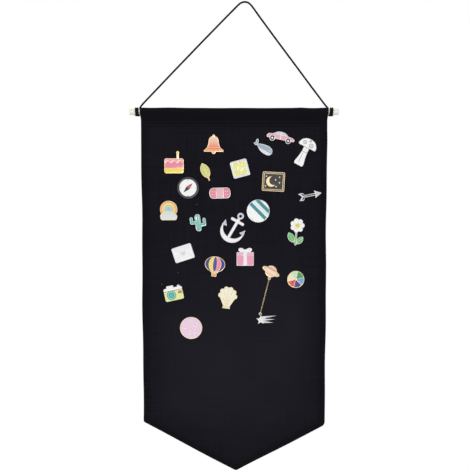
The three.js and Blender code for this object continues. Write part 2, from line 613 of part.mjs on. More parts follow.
// A corner of an outline turned into an arc
function roundCorner(before, corner, after, radius) {
  const into = before.clone().sub(corner).normalize();
  const away = after.clone().sub(corner).normalize();
  const half = Math.acos(into.dot(away)) / 2;
  const centre = into.clone().add(away).normalize().multiplyScalar(radius / Math.sin(half)).add(corner);
  const start = into.multiplyScalar(radius / Math.tan(half)).add(corner).sub(centre);
  const sweep = Math.PI - 2 * half;
  const turns = [0, 0.25, 0.5, 0.75, 1].map((share) => share * sweep);
  return turns.map((turn) => start.clone().rotateAround(new THREE.Vector2(), turn).add(centre));
}

// The pennant's sharp outline, counter-clockwise from its upper left, round the middle of its top fold
function pennantCorners() {
  const half = BANNER_WIDTH / 2;
  const wide = half + POCKET_FLARE;
  const step = POCKET_DEPTH + 4 * POCKET_FLARE;
  const pocketSide = [[-wide, POCKET_OUTER], [-wide, -POCKET_DEPTH]];
  const left = vectors([...pocketSide, [-half, -step], [-half, -SIDE_LENGTH]]);
  const right = left.toReversed().map((corner) => new THREE.Vector2(-corner.x, corner.y));
  right[0].y -= RIGHT_SIDE_EXTRA;
  return [...left, new THREE.Vector2(POINT_OFFSET, -SIDE_LENGTH - POINT_DROP), ...right];
}

function pennantOutline() {
  const corners = pennantCorners();
  const radii = { 3: LEFT_CORNER_RADIUS, 4: POINT_RADIUS, 5: RIGHT_CORNER_RADIUS };
  return corners.flatMap((corner, index) =>
    radii[index] ? roundCorner(corners[index - 1], corner, corners[index + 1], radii[index]) : [corner],
  );
}

// What of a solid lies below a height, from the top fold
function below(body, height) {
  return body.intersect(prism(shifted(slabLoop(BIG, BIG, 0), 0, height - BIG / 2, 0), BIG, -BIG));
}

// The turned edges on the back of the cloth, below the pocket's flap
function hem() {
  const inner = prism(offset(pennantCorners(), -HEM_WIDTH), BIG, -BIG);
  const edges = prism(pennantOutline(), CLOTH_BACK + CANVAS_THICKNESS, 0).subtract(inner);
  return below(edges, -POCKET_DEPTH - FLAP_LENGTH - SEAT_GAP);
}

function rodPocket() {
  const wrap = new THREE.ExtrudeGeometry(pocketSection(), { depth: BIG, bevelEnabled: false });
  wrap.applyMatrix4(new THREE.Matrix4().makeBasis(Y, Z, X));
  wrap.translate(-BIG / 2, 0, -POCKET_OUTER);
  const pocket = solid(wrap).intersect(prism(pennantOutline(), BIG, -BIG));
  addPiece("rod_pocket", geometryOf(pocket).translate(MIDDLE, 0, FOLD_HEIGHT), "canvas");
}

function canvasBanner(posts) {
  const radius = POST_DIAMETER / 2 + POST_CLEARANCE;
  const bore = new THREE.CylinderGeometry(radius, radius, BIG, 8);
  const hole = (place) => bore.clone().translate(place.x - MIDDLE, 0, place.y - FOLD_HEIGHT);
  const holes = posts.map((place) => solid(hole(place)));
  const panel = below(prism(pennantOutline(), CLOTH_BACK, CLOTH_FRONT), -POCKET_DEPTH - SEAT_GAP);
  const cloth = panel.add(hem()).subtract(united(holes));
  addPiece("canvas_banner", geometryOf(cloth).translate(MIDDLE, 0, FOLD_HEIGHT), "canvas");
}

function cordTube(points, sides, steps) {
  const section = new THREE.Shape(Array.from({ length: sides }, (_, index) => {
    const angle = (2 * Math.PI * index) / sides;
    return new THREE.Vector2((CORD_DIAMETER / 2) * Math.cos(angle), (CORD_DIAMETER / 2) * Math.sin(angle));
  }));
  const extrudePath = new THREE.CatmullRomCurve3(points);
  return { path: extrudePath, geometry: new THREE.ExtrudeGeometry(section, { steps, extrudePath }) };
}

const WRAP_RADIUS = DOWEL_DIAMETER / 2 + SEAT_GAP + CORD_DIAMETER / 2;
const HITCH_START = BANNER_WIDTH / 2 + POCKET_FLARE + SEAT_GAP + CORD_DIAMETER / 2;

// Where the cord meets a hitch, behind the dowel, with the hitch's straight end below it
function hitchMouth(side, above) {
  return new THREE.Vector3(MIDDLE + side * HITCH_START, WRAP_RADIUS, AXIS_HEIGHT + CORD_DIAMETER + above);
}

// One end of the cord: in behind the dowel, round it in turns that step outward, then back across them
function hitchPoints(side) {
  const pitch = CORD_DIAMETER + HITCH_GAP;
  const around = (turn, reach, radius) =>
    new THREE.Vector3(
      MIDDLE + side * (HITCH_START + reach),
      radius * Math.cos(turn),
      AXIS_HEIGHT - radius * Math.sin(turn),
    );
  const run = (turn) => {
    const turns = turn / (2 * Math.PI);
    return turns < 0.5 ? 2 * HITCH_LEAD * turns : HITCH_LEAD + pitch * (turns - 0.5);
  };
  const points = [hitchMouth(side, 0), hitchMouth(side, -CORD_DIAMETER / 2)];
  for (let step = 0; step <= HITCH_TURNS * LOOP_STEPS; step += 1) {
    const turn = (2 * Math.PI * step) / LOOP_STEPS;
    points.push(around(turn, run(turn), WRAP_RADIUS));
  }
  const last = 2 * Math.PI * HITCH_TURNS;
  const outer = WRAP_RADIUS + pitch;
  const end = run(last);
  points.push(around(last + 0.3, end + 0.5, WRAP_RADIUS + 0.4 * pitch));
  points.push(around(last + 0.55, end + 0.4, outer));
  for (const share of [0.4, 0.7, 1]) {
    points.push(around(last + 0.55 + 0.1 * share, end - HITCH_TAIL * share, outer + 0.3));
  }
  return points;
}

// The least gap of a tube to itself, from points that lie more than a few diameters apart along it
function leastGap(path) {
  const samples = path.getSpacedPoints(400);
  const apart = Math.ceil((3 * CORD_DIAMETER) / (path.getLength() / 400));
  const gaps = samples.flatMap((point, index) =>
    samples.slice(index + apart).map((other) => point.distanceTo(other) - CORD_DIAMETER),
  );
  return gaps.reduce((least, gap) => Math.min(least, gap));
}

function hangingCord() {
  for (const [name, side] of [["left_cord_hitch", -1], ["right_cord_hitch", 1]]) {
    const hitch = cordTube(hitchPoints(side), 6, LOOP_STEPS * HITCH_TURNS + 12);
    console.log(name + ": least gap of the cord to itself " + leastGap(hitch.path).toFixed(2) + " mm");
    addPiece(name, hitch.geometry, "cord");
  }
  const route = CORD_ROUTE.map((place) => new THREE.Vector3(...place));
  const ends = [-1, 1].map((side) => hitchMouth(side, SEAT_GAP));
  addPiece("hanging_cord", cordTube([ends[0], ...route, ends[1]], 8, 52).geometry, "cord");
}

function post(place) {
  const radius = POST_DIAMETER / 2;
  const shoulder = POST_LENGTH - POST_TIP;
  const profile = vectors([[0, -POST_ROOT], [radius, -POST_ROOT], [radius, shoulder], [0, POST_LENGTH]]);
  return solid(new THREE.LatheGeometry(profile, 6).translate(place.x, 0, place.y));
}

// An eye at the front of a plate's edge, for the chain
function lug(place) {
  const ring = (diameter) => shifted(ellipseLoop(diameter / 2, diameter / 2), place.x, place.y, 0);
  const lugBack = LUG_THICKNESS - PLATE_THICKNESS;
  return {
    eye: prism(ring(LUG_DIAMETER), lugBack, -PLATE_THICKNESS),
    hole: prism(ring(LUG_HOLE), PLATE_THICKNESS, -2 * PLATE_THICKNESS),
    clear: prism(ring(LUG_DIAMETER + 2 * SEAT_GAP), PLATE_THICKNESS, lugBack),
  };
}

// A struck plate: raised rim and lines, sunk fields for enamel, posts on its back
function pinPlate({ outline, lines, posts, lug: lugPlace }) {
  const floor = ENAMEL_DEPTH - PLATE_THICKNESS;
  const over = -2 * PLATE_THICKNESS;
  const fields = outline.solid(floor, over, -RIM_WIDTH).subtract(lines.solid(0, 2 * over));
  let plate = outline.solid(0, -PLATE_THICKNESS).subtract(fields);
  if (lugPlace) {
    const { eye, hole, clear } = lug(lugPlace);
    plate = plate.subtract(clear).add(eye).subtract(hole);
  }
  return plate.add(united(posts.map(post)));
}

// A butterfly clutch on the +Y side of y = 0: dished brass cap, sprung hub and two wings
function butterflyClutch() {
  const bore = POST_DIAMETER / 2 + POST_CLEARANCE;
  const edge = CLUTCH_DIAMETER / 2;
  const hub = HUB_DIAMETER / 2;
  const profile = vectors([
    [0, 0],
    [edge, 0],
    [edge, CLUTCH_RIM],
    [hub, 2 * CLUTCH_RIM],
    [0.75 * hub, HUB_HEIGHT],
    [0, HUB_HEIGHT],
  ]);
  const cap = solid(new THREE.LatheGeometry(profile, 8));
  const reach = WING_SPAN / 2;
  const root = HUB_HEIGHT - 2 * WING_THICKNESS;
  const blade = [[bore, root], [reach, root + WING_LIFT]];
  const upper = blade.toReversed().map(([x, y]) => [x, y + WING_THICKNESS]);
  const shape = new THREE.Shape(vectors([...blade, ...upper]));
  const wing = new THREE.ExtrudeGeometry(shape, { depth: WING_WIDTH, bevelEnabled: false });
  wing.translate(0, 0, -WING_WIDTH / 2);
  const right = solid(wing);
  const left = solid(wing.clone().rotateY(Math.PI));
  const hole = solid(new THREE.CylinderGeometry(bore, bore, 4 * HUB_HEIGHT, 6));
  return cap.add(right).add(left).subtract(hole);
}

// One oblong link round the y axis's origin, long along z, lying in the plane of x and z
function chainLink(halfLength) {
  const wire = WIRE_DIAMETER / 2;
  const bend = LINK_WIDTH / 2 - wire;
  const straight = halfLength - wire - bend;
  const angles = [0, 60, 120, 180, 180, 240, 300, 360].map(radians);
  const positions = [];
  const index = [];
  const sides = 4;
  angles.forEach((angle, step) => {
    const end = step < angles.length / 2 ? straight : -straight;
    for (let side = 0; side < sides; side += 1) {
      const spin = (2 * Math.PI * side) / sides;
      const radius = bend + wire * Math.cos(spin);
      positions.push(radius * Math.cos(angle), -wire * Math.sin(spin), end + radius * Math.sin(angle));
      const next = ((step + 1) % angles.length) * sides;
      const beside = (side + 1) % sides;
      index.push(step * sides + side, next + side, next + beside);
      index.push(step * sides + side, next + beside, step * sides + beside);
    }
  });
  const geometry = new THREE.BufferGeometry();
  geometry.setAttribute("position", new THREE.Float32BufferAttribute(positions, 3));
  geometry.setIndex(index);
  return geometry;
}

// The chain from one lug's eye down to the other's, every second link turned edge on
function pinChain(from, to) {
  const span = from.distanceTo(to);
  const wire = WIRE_DIAMETER / 2;
  const pitch = (span - LINK_BITE) / CHAIN_LINKS;
  const halfLength = (pitch - LINK_BITE) / 2 + WIRE_DIAMETER;
  const first = -halfLength + wire;
  const step = (span + 2 * first) / (CHAIN_LINKS - 1);
  const links = Array.from({ length: CHAIN_LINKS }, (_, index) => {
    const link = chainLink(halfLength);
    if (index % 2 === 0) {
      link.rotateZ(Math.PI / 2);
    }
    return solid(link.translate(0, 0, first - step * index));
  });
  const chain = addPiece("pin_chain", geometryOf(united(links)), "gold");
  chain.rotation.y = Math.atan2(from.x - to.x, from.y - to.y);
  chain.position.set(from.x, CLOTH_FRONT - SEAT_GAP - PLATE_THICKNESS + LUG_THICKNESS / 2, from.y);
}

function build() {
  const clutch = geometryOf(butterflyClutch());
  const holes = [];
  const lugs = [];
  for (const [name, pin] of Object.entries(PINS)) {
    const drawing = pin.draw(pin.width);
    const middle = new THREE.Vector2(MIDDLE + (pin.across * BANNER_WIDTH) / 2, FOLD_HEIGHT - pin.drop);
    const turned = (place) => place.clone().rotateAround(new THREE.Vector2(), -radians(pin.turn));
    const onCloth = (place) => turned(place).add(middle);
    const plate = addPiece(name + "_pin", geometryOf(pinPlate(drawing)), pin.metal);
    plate.position.set(middle.x, CLOTH_FRONT - SEAT_GAP, middle.y);
    plate.rotation.y = radians(pin.turn);
    const places = drawing.posts.map(onCloth);
    places.forEach((place, index) => {
      const label = places.length > 1 ? name + "_clutch_" + (index + 1) : name + "_clutch";
      addPiece(label, clutch, "brass").position.set(place.x, CLOTH_BACK + SEAT_GAP, place.y);
    });
    holes.push(...places);
    if (drawing.lug) {
      lugs.push(onCloth(drawing.lug));
    }
  }
  dowel();
  rodPocket();
  canvasBanner(holes);
  hangingCord();
  pinChain(...lugs);
}

build();

export default banner;
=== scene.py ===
"""A black canvas pennant on a wooden dowel, hung by a cord and covered in enamel pins.

Every size is in millimetres unless a comment says otherwise. X runs to the right, Y to the back
and Z up, from the point where the cord's bend rests on its nail.
"""

import math
from functools import partial

import bpy
import numpy as np
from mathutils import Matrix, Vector
from mathutils.geometry import delaunay_2d_cdt


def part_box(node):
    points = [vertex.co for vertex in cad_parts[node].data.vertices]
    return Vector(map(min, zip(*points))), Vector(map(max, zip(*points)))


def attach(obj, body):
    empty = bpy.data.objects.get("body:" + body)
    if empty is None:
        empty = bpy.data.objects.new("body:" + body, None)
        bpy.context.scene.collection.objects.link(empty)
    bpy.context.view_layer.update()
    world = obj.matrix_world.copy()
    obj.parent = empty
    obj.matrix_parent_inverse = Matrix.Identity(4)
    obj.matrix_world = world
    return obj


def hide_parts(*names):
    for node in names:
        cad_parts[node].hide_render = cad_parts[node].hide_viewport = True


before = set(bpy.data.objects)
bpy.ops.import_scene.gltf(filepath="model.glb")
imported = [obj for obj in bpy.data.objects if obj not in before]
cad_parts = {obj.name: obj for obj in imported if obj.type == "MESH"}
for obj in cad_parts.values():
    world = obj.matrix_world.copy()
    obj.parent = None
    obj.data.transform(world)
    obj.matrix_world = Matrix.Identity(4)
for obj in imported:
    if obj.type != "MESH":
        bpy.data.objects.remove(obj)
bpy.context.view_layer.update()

MM = 0.001
TURN = 2 * math.pi

# The banner
MIDDLE = -17.0
AXIS = -172.0  # height of the dowel's middle
FOLD = -165.75  # height of the top fold
SEAM = FOLD - 20.0
HALF_WIDTH = 150.0
POCKET_FLARE = 1.0
SIDE_FOOT = FOLD - 515.0  # height of the left lower corner
RIGHT_EXTRA = 4.4  # how much longer the right side is cut
POINT_DROP, POINT_OFFSET = 82.5, 3.0  # the point, below the left corner and right of the middle
FOOT_RADII = (4.0, 5.0, 9.0)  # of the left corner, the point and the right corner
CANVAS = 0.9
POCKET_RADIUS = 5.8  # to the middle of the cloth
FLAP = 9.0
FLAP_DEPTH = 1.2  # how far the flap lies behind the panel
HEM_TOP = -195.0
HEM_WIDTH = 11.0
HEM_FOLD = 0.5  # bend of the folded edge, at the middle of the cloth
EDGE_INSET = HEM_FOLD + CANVAS / 2
HEMMED_HALF = HALF_WIDTH - EDGE_INSET  # from the middle to where the turned edge starts to bend
LEVEL_FOOT = -640.0  # below this height the rows of the cloth's mesh lean into the foot
SIDE_ROWS, FOOT_ROWS = 112, 30

# The stitches
STITCH_PITCH, STITCH_LENGTH, THREAD_WIDTH = 3.2, 2.7, 0.5
SEAM_ROWS = (1.5, 6.0)  # the two rows, below the pocket's seam
HEM_ROW = 2.0  # from the hem's inner edge

# The dowel
DOWEL_RADIUS = 5.0
DOWEL_ENDS = (-185.0, 151.0)
DOWEL_EASED = [(0, 0), (1.6, 0), (3.1, 0), (4.25, 0.02), (4.62, 0.2), (4.88, 0.5)]

# The cord
CORD = 2.8
PLY_PITCH = 6.0
CORD_STEP, CORD_SIDES = 0.5, 24  # of its mesh
CORD_GIRTH = 8.0  # the way round it, as its fibres' pattern counts it
PULLED_FLAT = 0.74  # thickness of the cord where it is drawn tight round the dowel
WRAP_RADIUS = DOWEL_RADIUS + 0.03 + PULLED_FLAT * CORD / 2
HITCH_START = 152.7
HITCH_LEAD, HITCH_STEP, HITCH_TAIL = 1.7, 2.9, 6.0
CORD_ROUTE = [
    (-169.7, 6.5, -167), (-168.6, 6.5, -164), (-165.4, 6.2, -159.8), (-146.2, 5.4, -140),
    (-126.7, 4.6, -120), (-107.1, 3.8, -100), (-87.3, 3, -80), (-67.5, 2.2, -60),
    (-47.5, 1.4, -40), (-27.4, 0.6, -20), (-15.2, 0.2, -8), (-9.8, 0, -2.8), (-5.2, 0, 0.4),
    (0, 0, 1.45), (5.2, 0, 0.4), (10.2, 0, -3.7), (13.6, 0.2, -8), (22.4, 0.6, -20),
    (37.5, 1.4, -40), (52.7, 2.2, -60), (68, 3, -80), (83.4, 3.8, -100), (98.7, 4.6, -120),
    (114.1, 5.4, -140), (129.6, 6.2, -159.8), (133.3, 6.5, -164), (135.2, 6.5, -167),
]

# The pins and their clutches, as depths behind the cloth's middle
PLATE_FRONT, ENAMEL_FLOOR, PLATE_BACK = -2.55, -2.05, -0.75
RIM_BEVEL = 0.1
FIELD_GROWTH = 0.12  # how far each enamel field eats into the lines round it
# How the lines of a pin are drawn, and what is tried next where they would cross: the most that
# a curve leaves its straight side, the growth of the fields and the bevel of the rims
LINE_FITS = [(bulge, FIELD_GROWTH * grown, RIM_BEVEL * eased) for bulge in (9.0, 0.3)
             for grown, eased in ((1, 1), (1 / 2, 1 / 2), (0, 1 / 3), (0, 0))]
SHARPEST_CURVE = math.radians(62)  # a turn past this stays a corner
ENAMEL_EDGE, ENAMEL_FACE = -2.46, -2.41
MENISCUS = 0.2
POST = [  # radius and depth, from the soldered foot to the tip
    (0, -1.1), (1.15, -1.1), (1.15, -0.72), (0.85, -0.6), (0.6, -0.45), (0.6, 5.9), (0.47, 6.05),
    (0.47, 6.35), (0.6, 6.5), (0.52, 6.9), (0.18, 8.1), (0, 8.25),
]
LUG = [  # radius and depth of the eye that holds the chain
    (1.3, -1.9), (1.3, -2.4), (1.45, -2.55), (2.25, -2.55), (2.4, -2.4), (2.4, -1.9),
    (2.25, -1.75), (1.45, -1.75),
]
CLUTCH_CAP = [  # radius and depth, round the rim and the hub and down the bore
    (0.75, 0.0), (4.9, 0.0), (5.4, 0.06), (5.64, 0.25), (5.7, 0.5), (5.62, 0.76), (5.35, 0.9),
    (5.0, 0.84), (4.3, 0.86), (3.6, 1.1), (3.15, 1.5), (2.95, 2.0), (2.7, 3.2), (2.5, 3.6),
    (2.15, 3.78), (1.2, 3.8), (0.9, 3.72), (0.75, 3.5),
]
WING_SPINE = [(1.0, 2.75, 0), (2.5, 2.85, 0), (3.6, 3.3, 0), (4.9, 4.15, 0), (6.18, 4.72, 0)]
WING_THICKNESS, WING_HALF, WING_BLUNT = 0.6, 2.3, 4.6  # the blunt end starts this far out
CHAIN_DEPTH, CHAIN_LINKS, CHAIN_WIRE, LINK_WIDTH = -2.15, 23, 0.42, 1.5

# Each pin: millimetres right of the banner's middle, down from the top fold, clockwise turn in
# degrees, plating, its commonest enamel, and the other enamels by a spot in each field
PINS = {
    "bell": (-33, 58, 0, "gold_plate", "#f4b08c", [
        (1.7, 2.5, "#f8d9c0", "#f08a66"), (3.6, -8, "#ef7f5f"), (-5.2, -10.2, "#f3a37c"),
        (-0.5, -13, "#f4c27a"), (0, 13.2, "#f7e3b5")]),
    "cake": (-97, 87, 0, "gold_plate", "#ee86a0", [
        (-1.7, -6.7, "#ee86a0"), (-4.9, -11.4, "#f6dc55"), (0.5, 4.6, "#f3a9b8"),
        (5.7, 10.5, "#f5efe0"), (5.8, 15.6, "#f6c544")]),
    "leaf": (-46, 102, -24, "gold_plate", "#c6cf74", [(-0.1, -13.3, "#86a84a")]),
    "tile": (9.5, 97, -15, "nickel_plate", "#eee98f", [
        (2.5, -12, "#e4e6e2"), (0.9, -0.9, "#f6f2b8")]),
    "compass": (-74.5, 128, 0, "black_nickel", "#fbfafa", [
        (15.1, -3, "#1c1c22"), (-2, -2, "#1f1f24"), (2, 2, "#e2574c")]),
    "plaster": (-23, 136.5, -2, "nickel_plate", "#efb9c1", [
        (9.9, 5.9, "#e28d9c"), (-9.9, -5.9, "#e28d9c")]),
    "car": (75, 46, 12, "nickel_plate", "#f0a9bd", [
        (11.6, -2.3, "#2a2a2e"), (-11.6, -2.3, "#2a2a2e"), (4.4, 4.5, "#cfd6dd"),
        (-4.9, 4.3, "#cfd6dd")]),
    "whale": (47, 64, 32, "nickel_plate", "#9fafc2", [
        (4.7, -4.3, "#e6ebef"), (-14.3, 4.1, "#8fa2b8"), (-13.4, -0.2, "#8fa2b8")]),
    "mushroom": (113, 71, 27, "black_nickel", "#fbfafa", [
        (1.4, 5.3, "#f0f0f1"), (5.9, 13.4, "#d9dade"), (-5.8, 14.7, "#d9dade"),
        (1.2, 20, "#d9dade")]),
    "night": (63.5, 118, 3, "gold_plate", "#18171c", []),
    "arrow": (123, 140, -12, "nickel_plate", "#c9ced2", [(2.9, 0.7, "#1d1e22")]),
    "rainbow": (-106, 165, 0, "gold_plate", "#dfe5e3", [
        (10.3, 7.4, "#f2a36f"), (-1.3, 10.9, "#f3d77a"), (-4.3, 5.7, "#9fd6a4"),
        (-1.5, 2.1, "#a9c4e8")]),
    "cactus": (-58.5, 184.5, -7, "nickel_plate", "#69bdb4", []),
    "stripes": (39, 165.5, 0, "nickel_plate", "#fafbfb", [
        (-4, 4.2, "#2b8a92"), (10.1, 4.2, "#2b8a92"), (7.2, -0.2, "#e9f1f1"),
        (-12.4, -10.5, "#d5e8e8")]),
    "anchor": (-0.5, 193, 30, "nickel_plate", "#fbfafc", [
        (0.5, 25.5, "#cfc3e6"), (16.6, -0.5, "#cfc3e6"), (-16.6, -0.5, "#cfc3e6")]),
    "daisy": (99, 199, 0, "nickel_plate", "#f6fbf2", [
        (-7.7, -11.9, "#58b947"), (5.2, -13.9, "#58b947"), (1.2, -8.3, "#4fae41"),
        (3.6, 10, "#f4cf4a")]),
    "envelope": (-83, 234, -18, "nickel_plate", "#fbfafc", [
        (-0.3, 8.4, "#f5f3f8"), (0.4, -1.3, "#ddd8ea")]),
    "balloon": (-31.5, 256, 6, "gold_plate", "#4b3f9c", [
        (-5.4, 7.3, "#f3e06c"), (7.3, 3.5, "#f094ac"), (-12.1, -1.6, "#392f86"),
        (13.6, 3.6, "#392f86"), (-1.1, -12.9, "#f0a37e"), (-1.2, -9.1, "#f3c9a0")]),
    "gift": (18, 241, 0, "nickel_plate", "#f1a3bf", [
        (-9.5, 5.3, "#f4b7cd"), (6.3, 6.6, "#f4b7cd"), (-0.7, -7.5, "#fbf4f6"),
        (-0.7, 5.3, "#fbf4f6"), (7.1, 12.2, "#fbf4f6"), (-7.1, 12.2, "#fbf4f6")]),
    "planet": (60, 264, 30, "gold_plate", "#f7dfd0", [
        (3.9, -3.1, "#e8d0b4"), (-2.6, 4.6, "#e3a38a"), (1.4, 6.5, "#f2cbb6"),
        (1.6, -5.6, "#e3a38a"), (-10.1, 1.9, "#dfc6a8"), (12.5, 0.8, "#dfc6a8")]),
    "wheel": (100.5, 277, 0, "gold_plate", "#cfeac6", [
        (5, 7.1, "#3a9b57"), (7.9, -2.1, "#6fa8dc"), (3.6, -7.9, "#3a2f86"),
        (-5.8, -5.8, "#dd4b45"), (-8.7, 0.8, "#f6ecc9")]),
    "camera": (-99, 299, -12, "black_nickel", "#f0f2a6", [
        (-4.4, 7, "#fcfbf8"), (-7.9, 0.1, "#84d8cb"), (-4.6, -2.4, "#5fc4b8"),
        (9.9, -0.2, "#e58f8a")]),
    "shell": (-11, 308, 8, "gold_plate", "#fbf8e2", [(1.7, -15, "#f4e6c2")]),
    "weave": (-70.5, 357, 0, "gold_plate", "#f3d6ec", []),
    "comet": (50, 343, 0, "nickel_plate", "#dfe3ea", [(-5.1, 0.3, "#f1efe9")]),
}
TWO_POSTS = ("car", "whale", "mushroom")
LUGS = {"planet": (3.4, -11.2), "comet": (-7.4, 9.2)}

# The inputs of a node that mixes two colours
SHARE, FIRST, SECOND = 0, 6, 7


def linear(code):
    """An sRGB hex colour as linear red, green, blue and alpha."""
    parts = [int(code[i : i + 2], 16) / 255 for i in (1, 3, 5)]
    return (*[c / 12.92 if c <= 0.04045 else ((c + 0.055) / 1.055) ** 2.4 for c in parts], 1.0)


def feed(node, inputs):
    """Each input takes a number, a socket, or another node's first output that is in use."""
    for name, value in inputs.items():
        if isinstance(value, bpy.types.Node):
            value = next(socket for socket in value.outputs if socket.enabled)
        if isinstance(value, bpy.types.NodeSocket):
            node.id_data.links.new(value, node.inputs[name])
        else:
            node.inputs[name].default_value = value


def add(tree, kind, inputs=None, **settings):
    """Adds a node: its settings first, then its inputs."""
    node = tree.nodes.new(kind)
    for name, value in settings.items():
        setattr(node, name, value)
    feed(node, inputs or {})
    return node


def per_metre(size):
    """The scale of a pattern whose marks are this many millimetres apart."""
    return 1 / (size * MM)


def smooth_step(low, high, value):
    """A smooth rise from 0 where the value is low to 1 where it is high."""
    share = np.clip((value - low) / (high - low), 0.0, 1.0)
    return share * share * (3 - 2 * share)


def unit(vectors):
    """Rows of vectors, each made one long."""
    return vectors / np.linalg.norm(vectors, axis=1)[:, None]


def new_finish(name, **sockets):
    """A material, a function that adds nodes to it, and its shader. The sockets take what is
    the same all over."""
    finish = bpy.data.materials.new(name)
    finish.use_nodes = True
    shader = finish.node_tree.nodes["Principled BSDF"]
    feed(shader, {socket.replace("_", " "): value for socket, value in sockets.items()})
    return finish, partial(add, finish.node_tree), shader


def linked(name, data):
    """A new object in the scene."""
    thing = bpy.data.objects.new(name, data)
    bpy.context.collection.objects.link(thing)
    return thing


def new_piece(name, points, faces, finishes, sharp=None):
    """A smooth-shaded mesh object at the origin, from points in millimetres."""
    mesh = bpy.data.meshes.new(name)
    mesh.from_pydata((np.asarray(points, float) * MM).tolist(), [], faces)
    for finish in finishes:
        mesh.materials.append(finish)
    mesh.shade_smooth()
    if sharp is not None:
        mesh.set_sharp_from_angle(angle=math.radians(sharp))
    return linked(name, mesh)


def dyed_canvas():
    """Plain-woven cotton canvas, dyed black: dull and slightly fuzzy, with a square grid of
    threads, thicker slubs along both ways of the weave and odd specks of pale lint."""
    finish, put, shader = new_finish(
        "dyed_canvas", Specular_IOR_Level=0.08, Sheen_Weight=0.05, Sheen_Roughness=0.6,
        Sheen_Tint=linear("#8f8fa6"))
    cloth = put("ShaderNodeUVMap", uv_map="weave")
    # Threads lie 0.6 mm apart; they are drawn at 1.1 mm, as coarse as they need to show.
    waves, slubs = [], []
    for way in put("ShaderNodeSeparateXYZ", {0: cloth}).outputs[:2]:
        turn = put("ShaderNodeMath", {0: way, 1: math.pi * per_metre(1.1)}, operation="MULTIPLY")
        waves.append(put("ShaderNodeMath", {0: turn}, operation="SINE"))
    # Slubs are about 2.5 mm wide and run on for 70 to 85 mm.
    for across, down in ((2.38, 71.4), (83.3, 2.63)):
        along = put("ShaderNodeMapping", {"Vector": cloth, "Scale": (
            per_metre(across), per_metre(down), 1.0)})
        slubs.append(put("ShaderNodeTexNoise", {"Vector": along, "Scale": 1.0, "Detail": 3.0}))
    weave = put("ShaderNodeMath", dict(enumerate(waves)), operation="MULTIPLY")
    slub = put("ShaderNodeMath", dict(enumerate(slubs)), operation="ADD")
    shade = put("ShaderNodeMapRange", {"Value": slub, "From Min": 0.72, "From Max": 1.3})
    # Painted light: the cloth is painted lighter in a pool over the lower middle, broken into
    # broad patches about 150 mm across.
    broad = put("ShaderNodeTexNoise", {"Vector": cloth, "Scale": per_metre(154), "Detail": 2.0})
    patchy = put("ShaderNodeMapRange",
                 {"Value": broad, "From Min": 0.3, "From Max": 0.7, "To Min": 0.55})
    painted_light = put("ShaderNodeAttribute", attribute_name="painted_light").outputs["Fac"]
    light_pool = put("ShaderNodeMath", {0: painted_light, 1: patchy}, operation="MULTIPLY")
    # Painted shade: the doubled cloth of the hems and of the pocket over the dowel lets less
    # light through from behind, so it is painted darker.
    doubled_shade = put("ShaderNodeAttribute", attribute_name="doubled_shade").outputs["Fac"]
    # One patch of 29 mm in four holds a speck of lint, which is 1.3 mm wide.
    cells = put("ShaderNodeTexVoronoi", {"Vector": cloth, "Scale": per_metre(29.4)}).outputs
    near = put("ShaderNodeMath", {0: cells["Distance"], 1: 0.022}, operation="LESS_THAN")
    pick = put("ShaderNodeSeparateColor", {0: cells["Color"]})
    few = put("ShaderNodeMath", {0: pick, 1: 0.72}, operation="GREATER_THAN")
    lint = put("ShaderNodeMath", {0: near, 1: few}, operation="MULTIPLY")
    # the colour takes the slubs' tone, then a painted pool of light, painted shade on the doubled
    # cloth, and the lint
    colour = linear("#0e0d13")
    for share, over in ((shade, "#14131a"), (light_pool, "#1f1e26"), (doubled_shade, "#0c0b10"),
                        (lint, "#6f6e74")):
        colour = put("ShaderNodeMix", {SHARE: share, FIRST: colour, SECOND: linear(over)},
                     data_type="RGBA")
    rough = put("ShaderNodeMapRange", {"Value": slub, "From Min": 0.7, "From Max": 1.3,
                                       "To Min": 0.98, "To Max": 0.84})
    bump = put("ShaderNodeBump", {"Strength": 0.5, "Distance": 0.2 * MM, "Height": weave})
    feed(shader, {"Base Color": colour, "Roughness": rough, "Normal": bump})
    return finish


def waxed_cord():
    """Three-ply cotton cord, dyed black and lightly waxed: a soft shine on the crowns of the
    plies, broken up along the cord by its fibres."""
    finish, put, shader = new_finish("waxed_cord", Specular_IOR_Level=0.14)
    run = put("ShaderNodeUVMap", uv_map="ply")
    along = put("ShaderNodeMapping", {"Vector": run, "Scale": (
        per_metre(3.85), per_metre(38.5), 1.0)})
    fibre = put("ShaderNodeTexNoise", {"Vector": along, "Scale": 1.0, "Detail": 3.0})
    colour = put("ShaderNodeMix", {SHARE: fibre, FIRST: linear("#040405"),
                                   SECOND: linear("#0e0e10")}, data_type="RGBA")
    rough = put("ShaderNodeMapRange", {"Value": fibre, "To Min": 0.65, "To Max": 0.9})
    bump = put("ShaderNodeBump", {"Strength": 0.4, "Distance": 0.2 * MM, "Height": fibre})
    feed(shader, {"Base Color": colour, "Roughness": rough, "Normal": bump})
    return finish


